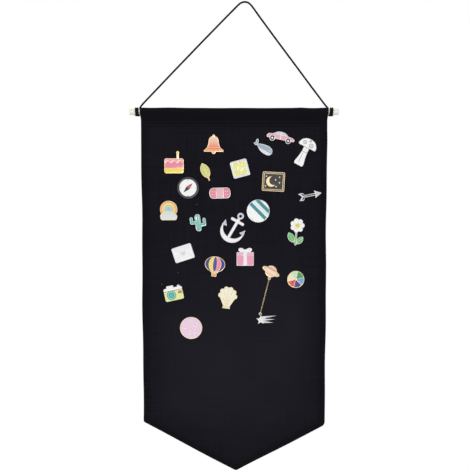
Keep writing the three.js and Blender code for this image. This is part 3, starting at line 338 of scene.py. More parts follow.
def sanded_ramin():
    """Pale hardwood dowel stock, turned and sanded but not varnished: growth rings that run out
    as long straight streaks, short dark pores along the grain and rings on the cut ends."""
    finish, put, shader = new_finish("sanded_ramin", Specular_IOR_Level=0.3)
    place = put("ShaderNodeTexCoord").outputs["Object"]
    # The heart of the tree lay 29 mm off the dowel's middle, and rings are 1.6 mm apart. Along
    # the grain everything is drawn out to fifty times its length.
    heart = put("ShaderNodeMapping", {"Vector": place, "Scale": (0.02, 1.0, 1.0),
                                      "Location": (0.0, 26 * MM, (13 - AXIS) * MM)})
    drift = put("ShaderNodeTexNoise", {"Vector": heart, "Scale": per_metre(8.33), "Detail": 2.0})
    far = put("ShaderNodeVectorMath", {0: heart}, operation="LENGTH")
    bent = put("ShaderNodeMath", {0: drift, 1: 2.2 * MM, 2: far}, operation="MULTIPLY_ADD")
    ring = put("ShaderNodeMath", {0: bent, 1: 1.6 * MM}, operation="DIVIDE")
    band = put("ShaderNodeMath", {0: ring}, operation="FRACT")
    # Pores are about 0.4 mm wide and 11 mm long.
    pores = put("ShaderNodeMapping", {"Vector": place, "Scale": (
        per_metre(11.1), per_metre(0.385), per_metre(0.385))})
    pore = put("ShaderNodeTexNoise", {"Vector": pores, "Scale": 1.0, "Detail": 2.0})
    deep = put("ShaderNodeMapRange",
               {"Value": pore, "From Min": 0.6, "From Max": 0.74, "To Max": 0.35})
    colour = linear("#fcf8ee")
    for share, over in ((band, "#f6eedc"), (deep, "#dfcba4")):
        colour = put("ShaderNodeMix", {SHARE: share, FIRST: colour, SECOND: linear(over)},
                     data_type="RGBA")
    rough = put("ShaderNodeMapRange", {"Value": pore, "To Min": 0.5, "To Max": 0.75})
    bump = put("ShaderNodeBump", {"Strength": 0.25, "Distance": 0.1 * MM, "Height": pore})
    feed(shader, {"Base Color": colour, "Roughness": rough, "Normal": bump})
    return finish


def plated_metal(name, bright, dull, roughness):
    """Struck and plated metal: a bright skin that has gone dull in patches a few millimetres
    wide, with fine rubbing marks from handling."""
    finish, put, shader = new_finish(name, Metallic=1.0)
    place = put("ShaderNodeTexCoord").outputs["Object"]
    patch = put("ShaderNodeTexNoise", {"Vector": place, "Scale": per_metre(4.17), "Detail": 3.0})
    rubs = put("ShaderNodeMapping", {"Vector": place, "Rotation": (0.0, 0.6, 0.0), "Scale": (
        per_metre(0.333), per_metre(1.11), per_metre(2.0))})
    rub = put("ShaderNodeTexNoise", {"Vector": rubs, "Scale": 1.0, "Detail": 2.0})
    tarnish = put("ShaderNodeMapRange", {"Value": patch, "From Min": 0.35, "From Max": 0.7})
    colour = put("ShaderNodeMix", {SHARE: tarnish, FIRST: linear(bright), SECOND: linear(dull)},
                 data_type="RGBA")
    rough = put("ShaderNodeMapRange",
                {"Value": patch, "From Min": 0.3, "From Max": 0.7,
                 "To Min": roughness - 0.06, "To Max": roughness + 0.12})
    bump = put("ShaderNodeBump", {"Strength": 0.12, "Distance": 0.05 * MM, "Height": rub})
    feed(shader, {"Base Color": colour, "Roughness": rough, "Normal": bump})
    return finish


def fired_enamel():
    """Coloured enamel, fired into the struck recesses: glassy and opaque, faintly cloudy in
    its colour, with a slow ripple where it has settled."""
    finish, put, shader = new_finish("fired_enamel", IOR=1.5, Coat_Weight=0.25,
                                     Coat_Roughness=0.08)
    place = put("ShaderNodeTexCoord").outputs["Object"]
    paint = put("ShaderNodeAttribute", attribute_name="enamel").outputs["Color"]
    cloud = put("ShaderNodeTexNoise", {"Vector": place, "Scale": per_metre(3.125), "Detail": 3.0})
    cloudy = {"Value": cloud, "From Min": 0.3, "From Max": 0.7}
    tone = put("ShaderNodeMapRange", {**cloudy, "To Max": 0.06})
    colour = put("ShaderNodeMix", {SHARE: tone, FIRST: paint, SECOND: linear("#b9b4b2")},
                 data_type="RGBA")
    rough = put("ShaderNodeMapRange", {**cloudy, "To Min": 0.16, "To Max": 0.3})
    ripple = put("ShaderNodeTexNoise", {"Vector": place, "Scale": per_metre(1.43),
                                        "Detail": 1.0})
    bump = put("ShaderNodeBump", {"Strength": 0.08, "Distance": 0.1 * MM, "Height": ripple})
    feed(shader, {"Base Color": colour, "Roughness": rough, "Normal": bump})
    return finish


def sewing_thread():
    """Black polyester sewing thread: a little shinier than the canvas, twisted, with the
    shine broken up along each stitch."""
    finish, put, shader = new_finish("sewing_thread", Specular_IOR_Level=0.2)
    place = put("ShaderNodeTexCoord").outputs["Object"]
    twist = put("ShaderNodeTexNoise", {"Vector": place, "Scale": per_metre(0.4), "Detail": 1.0})
    colour = put("ShaderNodeMix", {SHARE: twist, FIRST: linear("#09090c"),
                                   SECOND: linear("#17161c")}, data_type="RGBA")
    rough = put("ShaderNodeMapRange", {"Value": twist, "To Min": 0.45, "To Max": 0.75})
    feed(shader, {"Base Color": colour, "Roughness": rough})
    return finish


CANVAS_FINISH = dyed_canvas()
CORD_FINISH = waxed_cord()
WOOD = sanded_ramin()
THREAD = sewing_thread()
ENAMEL = fired_enamel()
PLATINGS = {
    "gold_plate": plated_metal("gold_plating", "#f5e3ba", "#dcbd86", 0.24),
    "nickel_plate": plated_metal("nickel_plating", "#dcdcdc", "#bfc0c2", 0.22),
    "black_nickel": plated_metal("black_nickel_plating", "#4a4a50", "#333338", 0.28),
    "clutch_brass": plated_metal("stamped_brass", "#dcb868", "#bf9444", 0.32),
}


def place_camera():
    """The photograph's frontal view, from 1.2 m."""
    lens = bpy.data.cameras.new("camera")
    lens.sensor_width = 36.0
    lens.lens = 56.65
    camera = linked("camera", lens)
    camera.location = (-0.0156, -1.2, -0.2876)
    camera.rotation_euler = (math.radians(86.055), 0.0, 0.0)
    bpy.context.scene.camera = camera


def smooth_path(points, step):
    """Points an even step apart on a smooth curve through the given points."""
    points = np.asarray(points, float)
    padded = np.vstack([2 * points[0] - points[1], points, 2 * points[-1] - points[-2]])
    out = []
    for a, b, c, d in zip(padded, padded[1:], padded[2:], padded[3:]):
        knots = np.cumsum([0.0, *[max(np.linalg.norm(q - p), 1e-6) ** 0.5
                                  for p, q in ((a, b), (b, c), (c, d))]])
        for t in np.linspace(knots[1], knots[2], 24, endpoint=False):
            ab = a + (b - a) * (t - knots[0]) / (knots[1] - knots[0])
            bc = b + (c - b) * (t - knots[1]) / (knots[2] - knots[1])
            cd = c + (d - c) * (t - knots[2]) / (knots[3] - knots[2])
            abc = ab + (bc - ab) * (t - knots[0]) / (knots[2] - knots[0])
            bcd = bc + (cd - bc) * (t - knots[1]) / (knots[3] - knots[1])
            out.append(abc + (bcd - abc) * (t - knots[1]) / (knots[2] - knots[1]))
    out = np.array([*out, points[-1]])
    run = np.concatenate([[0.0], np.cumsum(np.linalg.norm(np.diff(out, axis=0), axis=1))])
    even = np.linspace(0.0, run[-1], int(run[-1] / step) + 1)
    return np.stack([np.interp(even, run, out[:, axis]) for axis in range(3)], axis=1)


def hitch_points(side):
    """The cord's way round one end of the dowel: down behind it, two turns out along it, and
    the end laid back across the turns."""

    def around(angle, along, radius):
        return (MIDDLE + side * along, radius * math.cos(angle), AXIS - radius * math.sin(angle))

    points = []
    for step in range(0, 49, 2):
        turns = step / 24
        run = 2 * HITCH_LEAD * turns if turns < 0.5 else HITCH_LEAD + HITCH_STEP * (turns - 0.5)
        points.append(around(TURN * turns, HITCH_START + run, WRAP_RADIUS))
    end = HITCH_START + HITCH_LEAD + HITCH_STEP * 1.5
    points.append(around(0.3, end + 0.5, WRAP_RADIUS + 1.2))
    points.append(around(0.55, end + 0.4, WRAP_RADIUS + 2.6))
    for share in (0.4, 0.7, 1.0):
        points.append(around(0.55 + 0.1 * share, end - HITCH_TAIL * share, WRAP_RADIUS + 2.7))
    return points


def cord_ring(middle, across, upright, spin, radii):
    """The cord's outline at one place, flatter and a little slimmer where it is drawn tight on
    the wood."""
    rim = np.outer(np.cos(spin), across) + np.outer(np.sin(spin), upright)
    rim *= radii[:, None]
    off_wood = np.array((0.0, middle[1], middle[2] - AXIS))
    lift = np.linalg.norm(off_wood)
    tight = 1 - smooth_step(WRAP_RADIUS + 0.2, WRAP_RADIUS + 1.6, lift)
    off_wood /= max(lift, 1e-6)
    rim -= tight * (1 - PULLED_FLAT) * np.outer(rim @ off_wood, off_wood)
    rim[:, 0] *= 1 - 0.08 * tight
    return (middle + rim).tolist()


def hanging_cord():
    """One length of cord from hitch to hitch, laid from three plies."""
    path = smooth_path([*hitch_points(-1)[::-1], *CORD_ROUTE, *hitch_points(1)], CORD_STEP)
    run = CORD_STEP * np.arange(len(path))
    ahead = unit(np.gradient(path, axis=0))
    sides = CORD_SIDES
    spin = TURN * np.arange(sides) / sides
    plies = 1.0 + 0.12 * np.abs(np.cos(1.5 * spin)) ** 0.6
    across = np.cross(ahead[0], (0.3, 0.5, 0.8))
    points = []
    for middle, forward, here in zip(path, ahead, run):
        across = across - forward * across.dot(forward)
        across /= np.linalg.norm(across)
        from_end = min(here, run[-1] - here)
        radius = CORD / 2 * min(1.0, 0.55 + 0.45 * from_end / 1.2)  # the cut ends draw in
        points += cord_ring(middle, across, np.cross(forward, across),
                            spin + TURN * here / PLY_PITCH, radius * plies)
    faces, coords = [], []
    for i in range(len(path) - 1):
        low, high = run[i] * MM, run[i + 1] * MM
        for j in range(sides):
            near, far = i * sides, (i + 1) * sides
            k = (j + 1) % sides
            faces.append((near + j, near + k, far + k, far + j))
            left, right = j / sides * CORD_GIRTH * MM, (j + 1) / sides * CORD_GIRTH * MM
            coords += [(low, left), (low, right), (high, right), (high, left)]
    for ring, middle in ((0, path[0]), (len(path) - 1, path[-1])):
        points.append(middle.tolist())
        for j in range(sides):
            edge = (ring * sides + j, ring * sides + (j + 1) % sides)
            faces.append((*(edge if ring else edge[::-1]), len(points) - 1))
            coords += [(0.0, 0.0), (0.0, MM), (MM, 0.0)]
    cord = new_piece("hanging_cord_laid", points, faces, [CORD_FINISH])
    layer = cord.data.uv_layers.new(name="ply")
    layer.data.foreach_set("uv", np.array(coords).ravel())
    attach(cord, "hanger")
    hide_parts("hanging_cord", "left_cord_hitch", "right_cord_hitch")


def lathe(profile, sides, closed=False):
    """Points and faces of a profile of (radius, run) turned round the Y axis, where a radius of
    0 makes a pole."""
    points, faces, rings = [], [], []
    for radius, run in profile:
        if radius == 0:
            rings.append([len(points)] * sides)
            points.append((0.0, run, 0.0))
            continue
        rings.append(list(range(len(points), len(points) + sides)))
        for side in range(sides):
            angle = TURN * side / sides
            points.append((radius * math.cos(angle), run, radius * math.sin(angle)))
    for near, far in zip(rings, rings[1:] + rings[: int(closed)]):
        for i in range(sides):
            j = (i + 1) % sides
            faces.append(tuple(dict.fromkeys((near[i], far[i], far[j], near[j]))))
    return np.array(points), faces


def wooden_dowel():
    """The dowel, turned with softened ends and the slight waver of hand sanding."""
    low, high = DOWEL_ENDS
    profile = [(radius, low + run) for radius, run in DOWEL_EASED]
    for run in np.linspace(low + 1.1, high - 1.1, 80):
        waver = 0.025 * math.sin(0.061 * run) + 0.02 * math.sin(0.17 * run + 1.0)
        profile.append((DOWEL_RADIUS - 0.02 + waver, run))
    profile += [(radius, high - run) for radius, run in reversed(DOWEL_EASED)]
    turned, faces = lathe(profile, 48)
    points = np.stack([turned[:, 1], turned[:, 0], turned[:, 2] + AXIS], axis=1)
    dowel = new_piece("dowel_turned", points, [f[::-1] for f in faces], [WOOD], sharp=50)
    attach(dowel, "hanger")
    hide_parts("dowel")


def on_cloth(pin, x, z):
    """Where a spot of a pin's own drawing lies on the banner."""
    right, drop, turn = PINS[pin][:3]
    turn = math.radians(turn)
    return (MIDDLE + right + x * math.cos(turn) + z * math.sin(turn),
            FOLD - drop - x * math.sin(turn) + z * math.cos(turn))


def flat_areas(node, depth, facing):
    """The edges round a plate's flat faces at one depth: for each connected area, the points
    that follow each point, with the area on the left as seen from the front."""
    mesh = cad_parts[node].data
    triangles = []
    for face in mesh.polygons:
        corners = [mesh.vertices[i].co / MM for i in face.vertices]
        if face.normal.y * facing > 0.9 and abs(sum(c.y for c in corners) / 3 - depth) < 0.02:
            triangles.append([(round(c.x, 3), round(c.z, 3)) for c in corners][::-facing])
    owner = list(range(len(triangles)))

    def root(i):
        while owner[i] != i:
            i = owner[i]
        return i

    sides = {}
    for i, t in enumerate(triangles):
        for a, b in zip(t, t[1:] + t[:1]):
            if (b, a) in sides:
                owner[root(i)] = root(sides[b, a])
            sides[a, b] = i
    areas = {}
    for (a, b), i in sides.items():
        if (b, a) not in sides:
            areas.setdefault(root(i), {}).setdefault(a, []).append(b)
    return areas.values()


def level_loops(node, depth, facing):
    """The same edges as closed loops of (x, z) in millimetres, grouped by area."""
    groups = []
    for following in flat_areas(node, depth, facing):
        loops = []
        while following:
            start = here = next(iter(following))
            loop = []
            while here != start or not loop:
                loop.append(here)
                ahead = following[here].pop()
                if not following[here]:
                    del following[here]
                here = ahead
            loops.append(np.array(loop))
        groups.append(loops)
    return groups


def half_turn(angle):
    """The same angle between minus and plus half a turn."""
    return (angle + math.pi) % TURN - math.pi


def rounded(loop, most_bulge):
    """The loop with its shallow turns drawn as curves and its sharp corners kept."""
    loop = loop[np.linalg.norm(loop - np.roll(loop, 1, axis=0), axis=1) > 0.01]
    out = np.roll(loop, -1, axis=0) - loop
    length = np.linalg.norm(out, axis=1)
    heading = np.arctan2(out[:, 1], out[:, 0])
    before = np.roll(heading, 1)
    leaving, arriving = heading.copy(), before.copy()
    for i, angle in enumerate(half_turn(heading - before)):
        if abs(angle) > SHARPEST_CURVE:
            continue
        # beside a much longer side the curve keeps to that side's way
        ratio = length[i] / length[i - 1]
        share = length[i - 1] / (length[i - 1] + length[i])
        leaving[i] = arriving[i] = before[i] + angle * (
            1.0 if ratio > 2.5 else 0.0 if ratio < 0.4 else share)
    points = []
    for i, here in enumerate(loop):
        j = (i + 1) % len(loop)
        start, finish = half_turn(leaving[i] - heading[i]), half_turn(arriving[j] - heading[i])
        bend = abs(start) + abs(finish)
        # a curve bulges by about an eighth of its length times its bend
        ease = min(1.0, 8 * most_bulge / max(length[i] * bend, 1e-9))
        steps = max(1, min(math.ceil(math.degrees(bend * ease) / 6), int(length[i] / 0.22), 12))
        go, come = (length[i] * np.array([math.cos(a), math.sin(a)])
                    for a in (heading[i] + ease * start, heading[i] + ease * finish))
        for t in np.arange(steps) / steps:
            points.append((2 * t**3 - 3 * t**2 + 1) * here + (t**3 - 2 * t**2 + t) * go
                          + (3 * t**2 - 2 * t**3) * loop[j] + (t**3 - t**2) * come)
    return np.array(points)


def moved_left(loop, distance):
    """The loop moved sideways to its left, with its corners mitred."""
    out = np.roll(loop, -1, axis=0) - loop
    out /= np.maximum(np.linalg.norm(out, axis=1), 1e-9)[:, None]
    left = np.stack([-out[:, 1], out[:, 0]], axis=1)
    other = np.roll(left, 1, axis=0)
    mitre = (left + other) / np.maximum(1 + (left * other).sum(axis=1), 0.35)[:, None]
    return loop + distance * mitre


def inside(loops, places):
    """Which of the places lie inside an odd number of the loops."""
    odd = np.zeros(len(places), bool)
    x, z = places.T
    for loop in loops:
        for a, b in zip(loop, np.roll(loop, -1, axis=0)):
            rise = b[1] - a[1] if b[1] != a[1] else 1.0
            meets = a[0] + (z - a[1]) * (b[0] - a[0]) / rise
            odd ^= ((a[1] > z) != (b[1] > z)) & (x < meets)
    return odd


def covered(loops):
    """Triangles over what lies inside an odd number of loops, as indexes into their points in
    order, facing the front; none where the loops touch or cross."""
    corners = np.vstack(loops)
    edges, first = [], 0
    for count in map(len, loops):
        edges += [(first + i, first + (i + 1) % count) for i in range(count)]
        first += count
    points, _, faces, origin, _, _ = delaunay_2d_cdt(
        [Vector(c) for c in corners], edges, [], 0, 1e-6)
    if len(points) != len(corners) or any(len(o) != 1 for o in origin):
        return []
    faces = np.array([[origin[i][0] for i in face] for face in faces])
    u, v = (corners[faces[:, i]] - corners[faces[:, 0]] for i in (1, 2))
    twice_area = u[:, 0] * v[:, 1] - u[:, 1] * v[:, 0]
    kept = inside(loops, corners[faces].mean(axis=1))
    faces[twice_area < 0] = faces[twice_area < 0][:, ::-1]
    # three points on one line of an edge make a triangle of no width, which is left out
    return faces[kept & (np.abs(twice_area) > 1e-4)].tolist()


def inset_face(loops, distance):
    """The loops moved left and the triangles inside them, or the loops as they are where the
    moved ones would cross."""
    moved = [moved_left(loop, distance) for loop in loops]
    faces = covered(moved)
    return (moved, faces) if faces else (loops, covered(loops))


class Casting:
    """Collects the points, faces and paint of one pin."""

    def __init__(self):
        self.points, self.faces, self.painted, self.paint = [], [], [], []

    def ring(self, loop, depth):
        first = len(self.points)
        self.points += [(x, depth, z) for x, z in loop]
        return list(range(first, len(self.points)))

    def face(self, corners, colour=None):
        self.faces.append(tuple(corners))
        self.painted.append(int(colour is not None))
        self.paint += [colour(self.points[c]) if colour else (0.5, 0.5, 0.5, 1.0)
                       for c in corners]

    def strip(self, near, far, colour=None):
        """A wall from one ring to a deeper one, facing the right of the rings' way."""
        for i in range(len(near)):
            j = (i + 1) % len(near)
            self.face((near[i], far[i], far[j], near[j]), colour)

    def cover(self, rings, triangles, colour=None):
        """A flat face between rings, from triangles that count through all their points."""
        order = sum(rings, [])
        for corners in triangles:
            self.face([order[i] for i in corners], colour)

    def turned(self, profile, sides, x, z, closed=False):
        """A turned shape that stands out to the back at one place."""
        first = len(self.points)
        points, faces = lathe(profile, sides, closed)
        self.points += [tuple(p) for p in points + (x, 0, z)]
        for face in faces:
            self.face([first + i for i in face])


def enamel_colour(pin, loops):
    """The paint of one enamel field, as a colour for each of its points."""
    codes = PINS[pin][4:5]
    for x, z, *found in PINS[pin][5]:
        if inside(loops, np.array([on_cloth(pin, x, z)]))[0]:
            codes = found
    top, low = linear(codes[0]), linear(codes[-1])
    heights = np.concatenate([loop[:, 1] for loop in loops])
    foot, rise = heights.min(), max(np.ptp(heights), 1e-6)

    def colour(point):
        share = (point[2] - foot) / rise
        return tuple(t * share + f * (1 - share) for t, f in zip(top, low))

    return colour


def plate_outlines(node, posts):
    """The edges of a plate's back, without the feet of its posts and without pinholes."""
    kept = []
    for loop in sum(level_loops(node, PLATE_BACK, 1), []):
        (x, z), width = loop.mean(axis=0), np.ptp(loop[:, 0])
        is_foot = width < 1.6 and any(np.hypot(x - p.x, z - p.z) < 0.4 for p in posts)
        if width > 0.3 and not is_foot:
            kept.append(loop)
    return kept


def cast_pin(pin):
    """One struck plate: raised rims and lines with a soft edge, enamel in the recesses, and
    the post (or posts) soldered to its back."""
    node = pin + "_pin"
    posts = [sum(map(Vector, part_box(name)), Vector()) / (2 * MM)
             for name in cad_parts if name.startswith(pin + "_clutch")]
    cut, struck = plate_outlines(node, posts), level_loops(node, ENAMEL_FLOOR, -1)
    for bulge, growth, bevel in LINE_FITS:
        outlines = [rounded(loop, bulge) for loop in cut]
        fields = [[moved_left(rounded(loop, bulge), -growth) for loop in group]
                  for group in struck]
        tops = [moved_left(loop, bevel) for loop in outlines]
        tops += [moved_left(loop, -bevel) for loop in sum(fields, [])]
        front = covered(tops)
        if front:
            break
    made = Casting()
    rings = [made.ring(loop, PLATE_FRONT) for loop in tops]
    made.cover(rings, front)
    heels = []
    for ring, loop in zip(rings, outlines):
        shoulder = made.ring(loop, PLATE_FRONT + RIM_BEVEL)
        heels.append(made.ring(loop, PLATE_BACK - RIM_BEVEL))
        made.strip(ring, shoulder)
        made.strip(shoulder, heels[-1])
    insets, back = inset_face(outlines, RIM_BEVEL)
    soles = [made.ring(inset, PLATE_BACK) for inset in insets]
    for heel, sole in zip(heels, soles):
        made.strip(heel, sole)
    made.cover(soles, [corners[::-1] for corners in back])
    rims = iter(rings[len(outlines):])
    for group in fields:
        colour = enamel_colour(pin, group)
        pools, pool = inset_face(group, MENISCUS)
        surfaces = []
        for loop, poured in zip(group, pools):
            lip = made.ring(loop, PLATE_FRONT + RIM_BEVEL / 2)
            edge = made.ring(loop, ENAMEL_EDGE)
            surfaces.append(made.ring(poured, ENAMEL_FACE))
            made.strip(lip, next(rims))
            made.strip(edge, lip)
            made.strip(surfaces[-1], edge, colour)
        made.cover(surfaces, pool, colour)
    for post in posts:
        made.turned(POST, 16, post.x, post.z)
    if pin in LUGS:
        made.turned(LUG, 32, *on_cloth(pin, *LUGS[pin]), closed=True)
    return made


def enamel_pins():
    """Every pin, painted and on the body that it turns with."""
    for pin, (_, _, _, plating, *_) in PINS.items():
        made, node = cast_pin(pin), pin + "_pin"
        piece = new_piece(node + "_struck", made.points, made.faces, [PLATINGS[plating], ENAMEL],
                          sharp=40)
        piece.data.polygons.foreach_set("material_index", made.painted)
        paint = piece.data.color_attributes.new("enamel", "FLOAT_COLOR", "CORNER")
        paint.data.foreach_set("color", np.array(made.paint).ravel())
        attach(piece, "banner" if pin in TWO_POSTS or pin in LUGS else node)
        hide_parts(node)


def clutch_wing(way):
    """Points and faces of one sprung wing, to the right (1) or the left (-1)."""
    spine = smooth_path(WING_SPINE, 0.4)
    spans = np.linspace(-1, 1, 9)
    points, panel = [], []
    for (x, y, _), (dx, dy, _) in zip(spine, unit(np.gradient(spine, axis=0))):
        blunt = max(0.0, (x - WING_BLUNT) / 1.62)
        half = WING_HALF * (1 - blunt**2) ** 0.5 if blunt < 0.97 else 0.55
        for side in (WING_THICKNESS / 2, -WING_THICKNESS / 2):
            points += [(way * (x - dy * side), y + dx * side, half * span) for span in spans]
    rows, wide = len(spine), len(spans)

    def at(i, k, j):
        return (i * 2 + k) * wide + j

    for i in range(rows - 1):
        for j in range(wide - 1):
            panel.append((at(i, 0, j), at(i, 0, j + 1), at(i + 1, 0, j + 1), at(i + 1, 0, j)))
            panel.append((at(i, 1, j), at(i + 1, 1, j), at(i + 1, 1, j + 1), at(i, 1, j + 1)))
        panel.append((at(i, 0, 0), at(i + 1, 0, 0), at(i + 1, 1, 0), at(i, 1, 0)))
        j = wide - 1
        panel.append((at(i, 0, j), at(i, 1, j), at(i + 1, 1, j), at(i + 1, 0, j)))
    for i, order in ((0, 1), (rows - 1, -1)):
        for j in range(wide - 1):
            panel.append((at(i, 0, j), at(i, 1, j), at(i, 1, j + 1), at(i, 0, j + 1))[::order])
    return points, [face[::way] for face in panel]


def clutch_shape():
    """A butterfly clutch round the origin of its front: a stamped cap with a rolled rim and a
    hub, and two sprung wings that are squeezed to let the post go."""
    points, faces = lathe(CLUTCH_CAP, 40, closed=True)
    points = points.tolist()
    for way in (1, -1):
        first = len(points)
        wing, panel = clutch_wing(way)
        points += wing
        faces += [tuple(first + i for i in face) for face in panel]
    return np.array(points), faces


def butterfly_clutches():
    """The same clutch on every post, each with its own wings' lie."""
    points, faces = clutch_shape()
    x, y, z = points.T
    for number, node in enumerate(sorted(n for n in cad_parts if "_clutch" in n)):
        low, high = (Vector(c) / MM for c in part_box(node))
        place = np.array([(low.x + high.x) / 2, low.y, (low.z + high.z) / 2])
        lie = math.radians(24.0 * math.sin(2.4 * number))
        turned = np.stack([x * math.cos(lie) - z * math.sin(lie), y,
                           x * math.sin(lie) + z * math.cos(lie)], axis=1)
        clutch = new_piece(node + "_stamped", turned + place, faces, [PLATINGS["clutch_brass"]],
                           sharp=45)
        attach(clutch, node)
        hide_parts(node)


def wave(x, z):
    """How far the hanging cloth stands in front of (-) or behind (+) a flat sheet: still at
    the seam and under each pin, and freest towards the foot."""
    free = smooth_step(SEAM - 6, SEAM - 60, z) * (0.35 + 0.65 * smooth_step(-520, -640, z))
    for right, drop, *_ in PINS.values():
        away = np.hypot(x - MIDDLE - right, z - FOLD + drop)
        free = free * smooth_step(24.0, 46.0, away)
    swell = np.sin((x - MIDDLE) / 31.0 + 0.004 * (z + 600) + 0.6)
    slow = np.sin((x - MIDDLE) / 58.0 - (z + 650) / 74.0 + 2.1)
    fine = np.sin((x - MIDDLE) / 15.0 + z / 120.0)
    return free * (0.9 * swell + 0.9 * slow + 0.16 * fine)


def foot_corners(inset):
    """The left corner, the point and the right corner of the foot's outline moved inward, each
    as (right of the middle, height)."""
    half = HALF_WIDTH - inset
    left_fall = POINT_DROP / (HALF_WIDTH + POINT_OFFSET)
    right_fall = (POINT_DROP - RIGHT_EXTRA) / (HALF_WIDTH - POINT_OFFSET)
    left = SIDE_FOOT - left_fall * HALF_WIDTH + inset * math.hypot(1, left_fall)
    right = SIDE_FOOT - RIGHT_EXTRA - right_fall * HALF_WIDTH + inset * math.hypot(1, right_fall)
    point = (left - right) / (left_fall + right_fall)
    return np.array([(-half, left + left_fall * half), (point, left - left_fall * point),
                     (half, right + right_fall * half)])


def turned_corner(before, corner, after, radius):
    """Points along the arc that rounds off a corner between its neighbours."""
    into, away = ((p - corner) / np.linalg.norm(p - corner) for p in (before, after))
    half = math.acos(into @ away) / 2
    centre = corner + (into + away) / np.linalg.norm(into + away) * radius / math.sin(half)
    start, end = (corner + way * radius / math.tan(half) - centre for way in (into, away))
    sweep = math.pi - 2 * half
    return [centre + (math.sin((1 - t) * sweep) * start + math.sin(t * sweep) * end)
            / math.sin(sweep) for t in np.linspace(0, 1, 13)]


def foot_height(x):
    """Height of the turned lower edge at each place across, with its three soft corners."""
    corners = foot_corners(EDGE_INSET)
    line = [corners[0] * (1, 0), *corners, corners[2] * (1, 0)]
    edge = []
    for i, radius in enumerate(FOOT_RADII):
        edge += turned_corner(*line[i : i + 3], radius - EDGE_INSET)
    return np.interp(x, *np.transpose(edge))


def banner_columns():
    """Places across the cloth as shares of its half width, closer together at the edges and the
    point."""
    edge = np.array([0, 0.5, 1.1, 1.8, 2.7, 3.8, 5.2, 7.0, 9.5, 12.5])
    near = np.array([0.6, 1.2, 1.8, 2.6, 4.0])
    half, tip = HEMMED_HALF, foot_corners(EDGE_INSET)[1][0]
    left = np.linspace(edge[-1] - half, tip - near[-1], 38)[1:-1]
    right = np.linspace(tip + near[-1], half - edge[-1], 38)[1:-1]
    return np.concatenate([edge - half, left, tip - near[::-1], [tip], tip + near, right,
                           half - edge[::-1]]) / half


def pocket_profile():
    """The pocket's section from the flap's edge, up behind the dowel and over it to the seam,
    as (depth, height) at the middle of the cloth."""
    seam = SEAM - AXIS
    over_back = (math.atan2(FLAP_DEPTH, seam)
                 - math.acos(POCKET_RADIUS / math.hypot(FLAP_DEPTH, seam)))
    over_front = -math.pi + math.acos(POCKET_RADIUS / -seam)
    bends = np.linspace(over_back, over_front, 26)
    arc = POCKET_RADIUS * np.stack([np.sin(bends), np.cos(bends)], axis=1)
    points = [(FLAP_DEPTH, seam - FLAP + step) for step in (0, 2.5, 5, 7.5)]
    points += [(1 - t) * np.array((FLAP_DEPTH, seam)) + t * arc[0] for t in (0, 0.25, 0.5, 0.75)]
    points += [*arc]
    points += [(1 - t) * arc[-1] + t * np.array((0.0, seam)) for t in (0.25, 0.5, 0.75)]
    return [(y, z + AXIS) for y, z in points]


def cloth_rows(share):
    """The cloth from the flap's edge over the dowel and down to the foot: its X from the middle,
    Y and Z as grids of rows."""
    rows = []
    # the pocket stands a little looser at its mouths, at two soft puffs and in slow waves
    loose = 0.09 * smooth_step(0.86, 1.0, np.abs(share)) + 0.02 * (1 + np.sin(13 * share + 0.5))
    loose += 0.14 * np.exp(-((share + 0.68) / 0.15) ** 2)
    loose += 0.12 * np.exp(-((share - 0.71) / 0.06) ** 2)
    for y, z in pocket_profile():
        ease = 1 + loose * smooth_step(SEAM, AXIS, z)
        flare = POCKET_FLARE * smooth_step(SEAM + 2, AXIS - 2, z)
        rows.append((share * (HALF_WIDTH + flare), y * ease, AXIS + (z - AXIS) * ease))
    above_hems = [*np.arange(SEAM, HEM_TOP + 1, -1.85), HEM_TOP + 0.05]
    for z in [*above_hems, *np.linspace(HEM_TOP, LEVEL_FOOT, SIDE_ROWS)]:
        x = share * (HALF_WIDTH if z > HEM_TOP else HEMMED_HALF)
        rows.append((x, wave(x + MIDDLE, z), np.full(len(share), z)))
    x = share * HEMMED_HALF
    foot = foot_height(x)
    for down in np.linspace(0, 1, FOOT_ROWS + 1)[1:]:
        z = LEVEL_FOOT + (foot - LEVEL_FOOT) * down
        rows.append((x, wave(x + MIDDLE, z), z))
    return (np.array(grid) for grid in zip(*rows))


def mitred_hem(line, outward):
    """Where the hem's inner edge lies for each point of the turned edge, with mitred corners."""
    left, tip, right = foot_corners(EDGE_INSET + HEM_WIDTH)
    out = []
    for (px, pz), (qx, qz) in zip(line, line - outward * HEM_WIDTH):
        across, x, z = px - MIDDLE, qx - MIDDLE, qz
        corner = left if across < tip[0] else right
        inner_half = abs(corner[0])
        if abs(across) > inner_half:
            near_corner = pz < corner[1] + 0.5 or abs(x) < inner_half - 0.5
            if near_corner and (z < corner[1] or abs(x) > inner_half):
                x, z = corner
        elif (x - tip[0]) * (across - tip[0]) < 0 or z < tip[1]:
            x, z = tip
        spread = np.array((across - x, pz - z))
        spread *= 0.2 / max(np.linalg.norm(spread), 1e-6)
        out.append((x + MIDDLE + spread[0], z + spread[1]))
    return np.array(out)


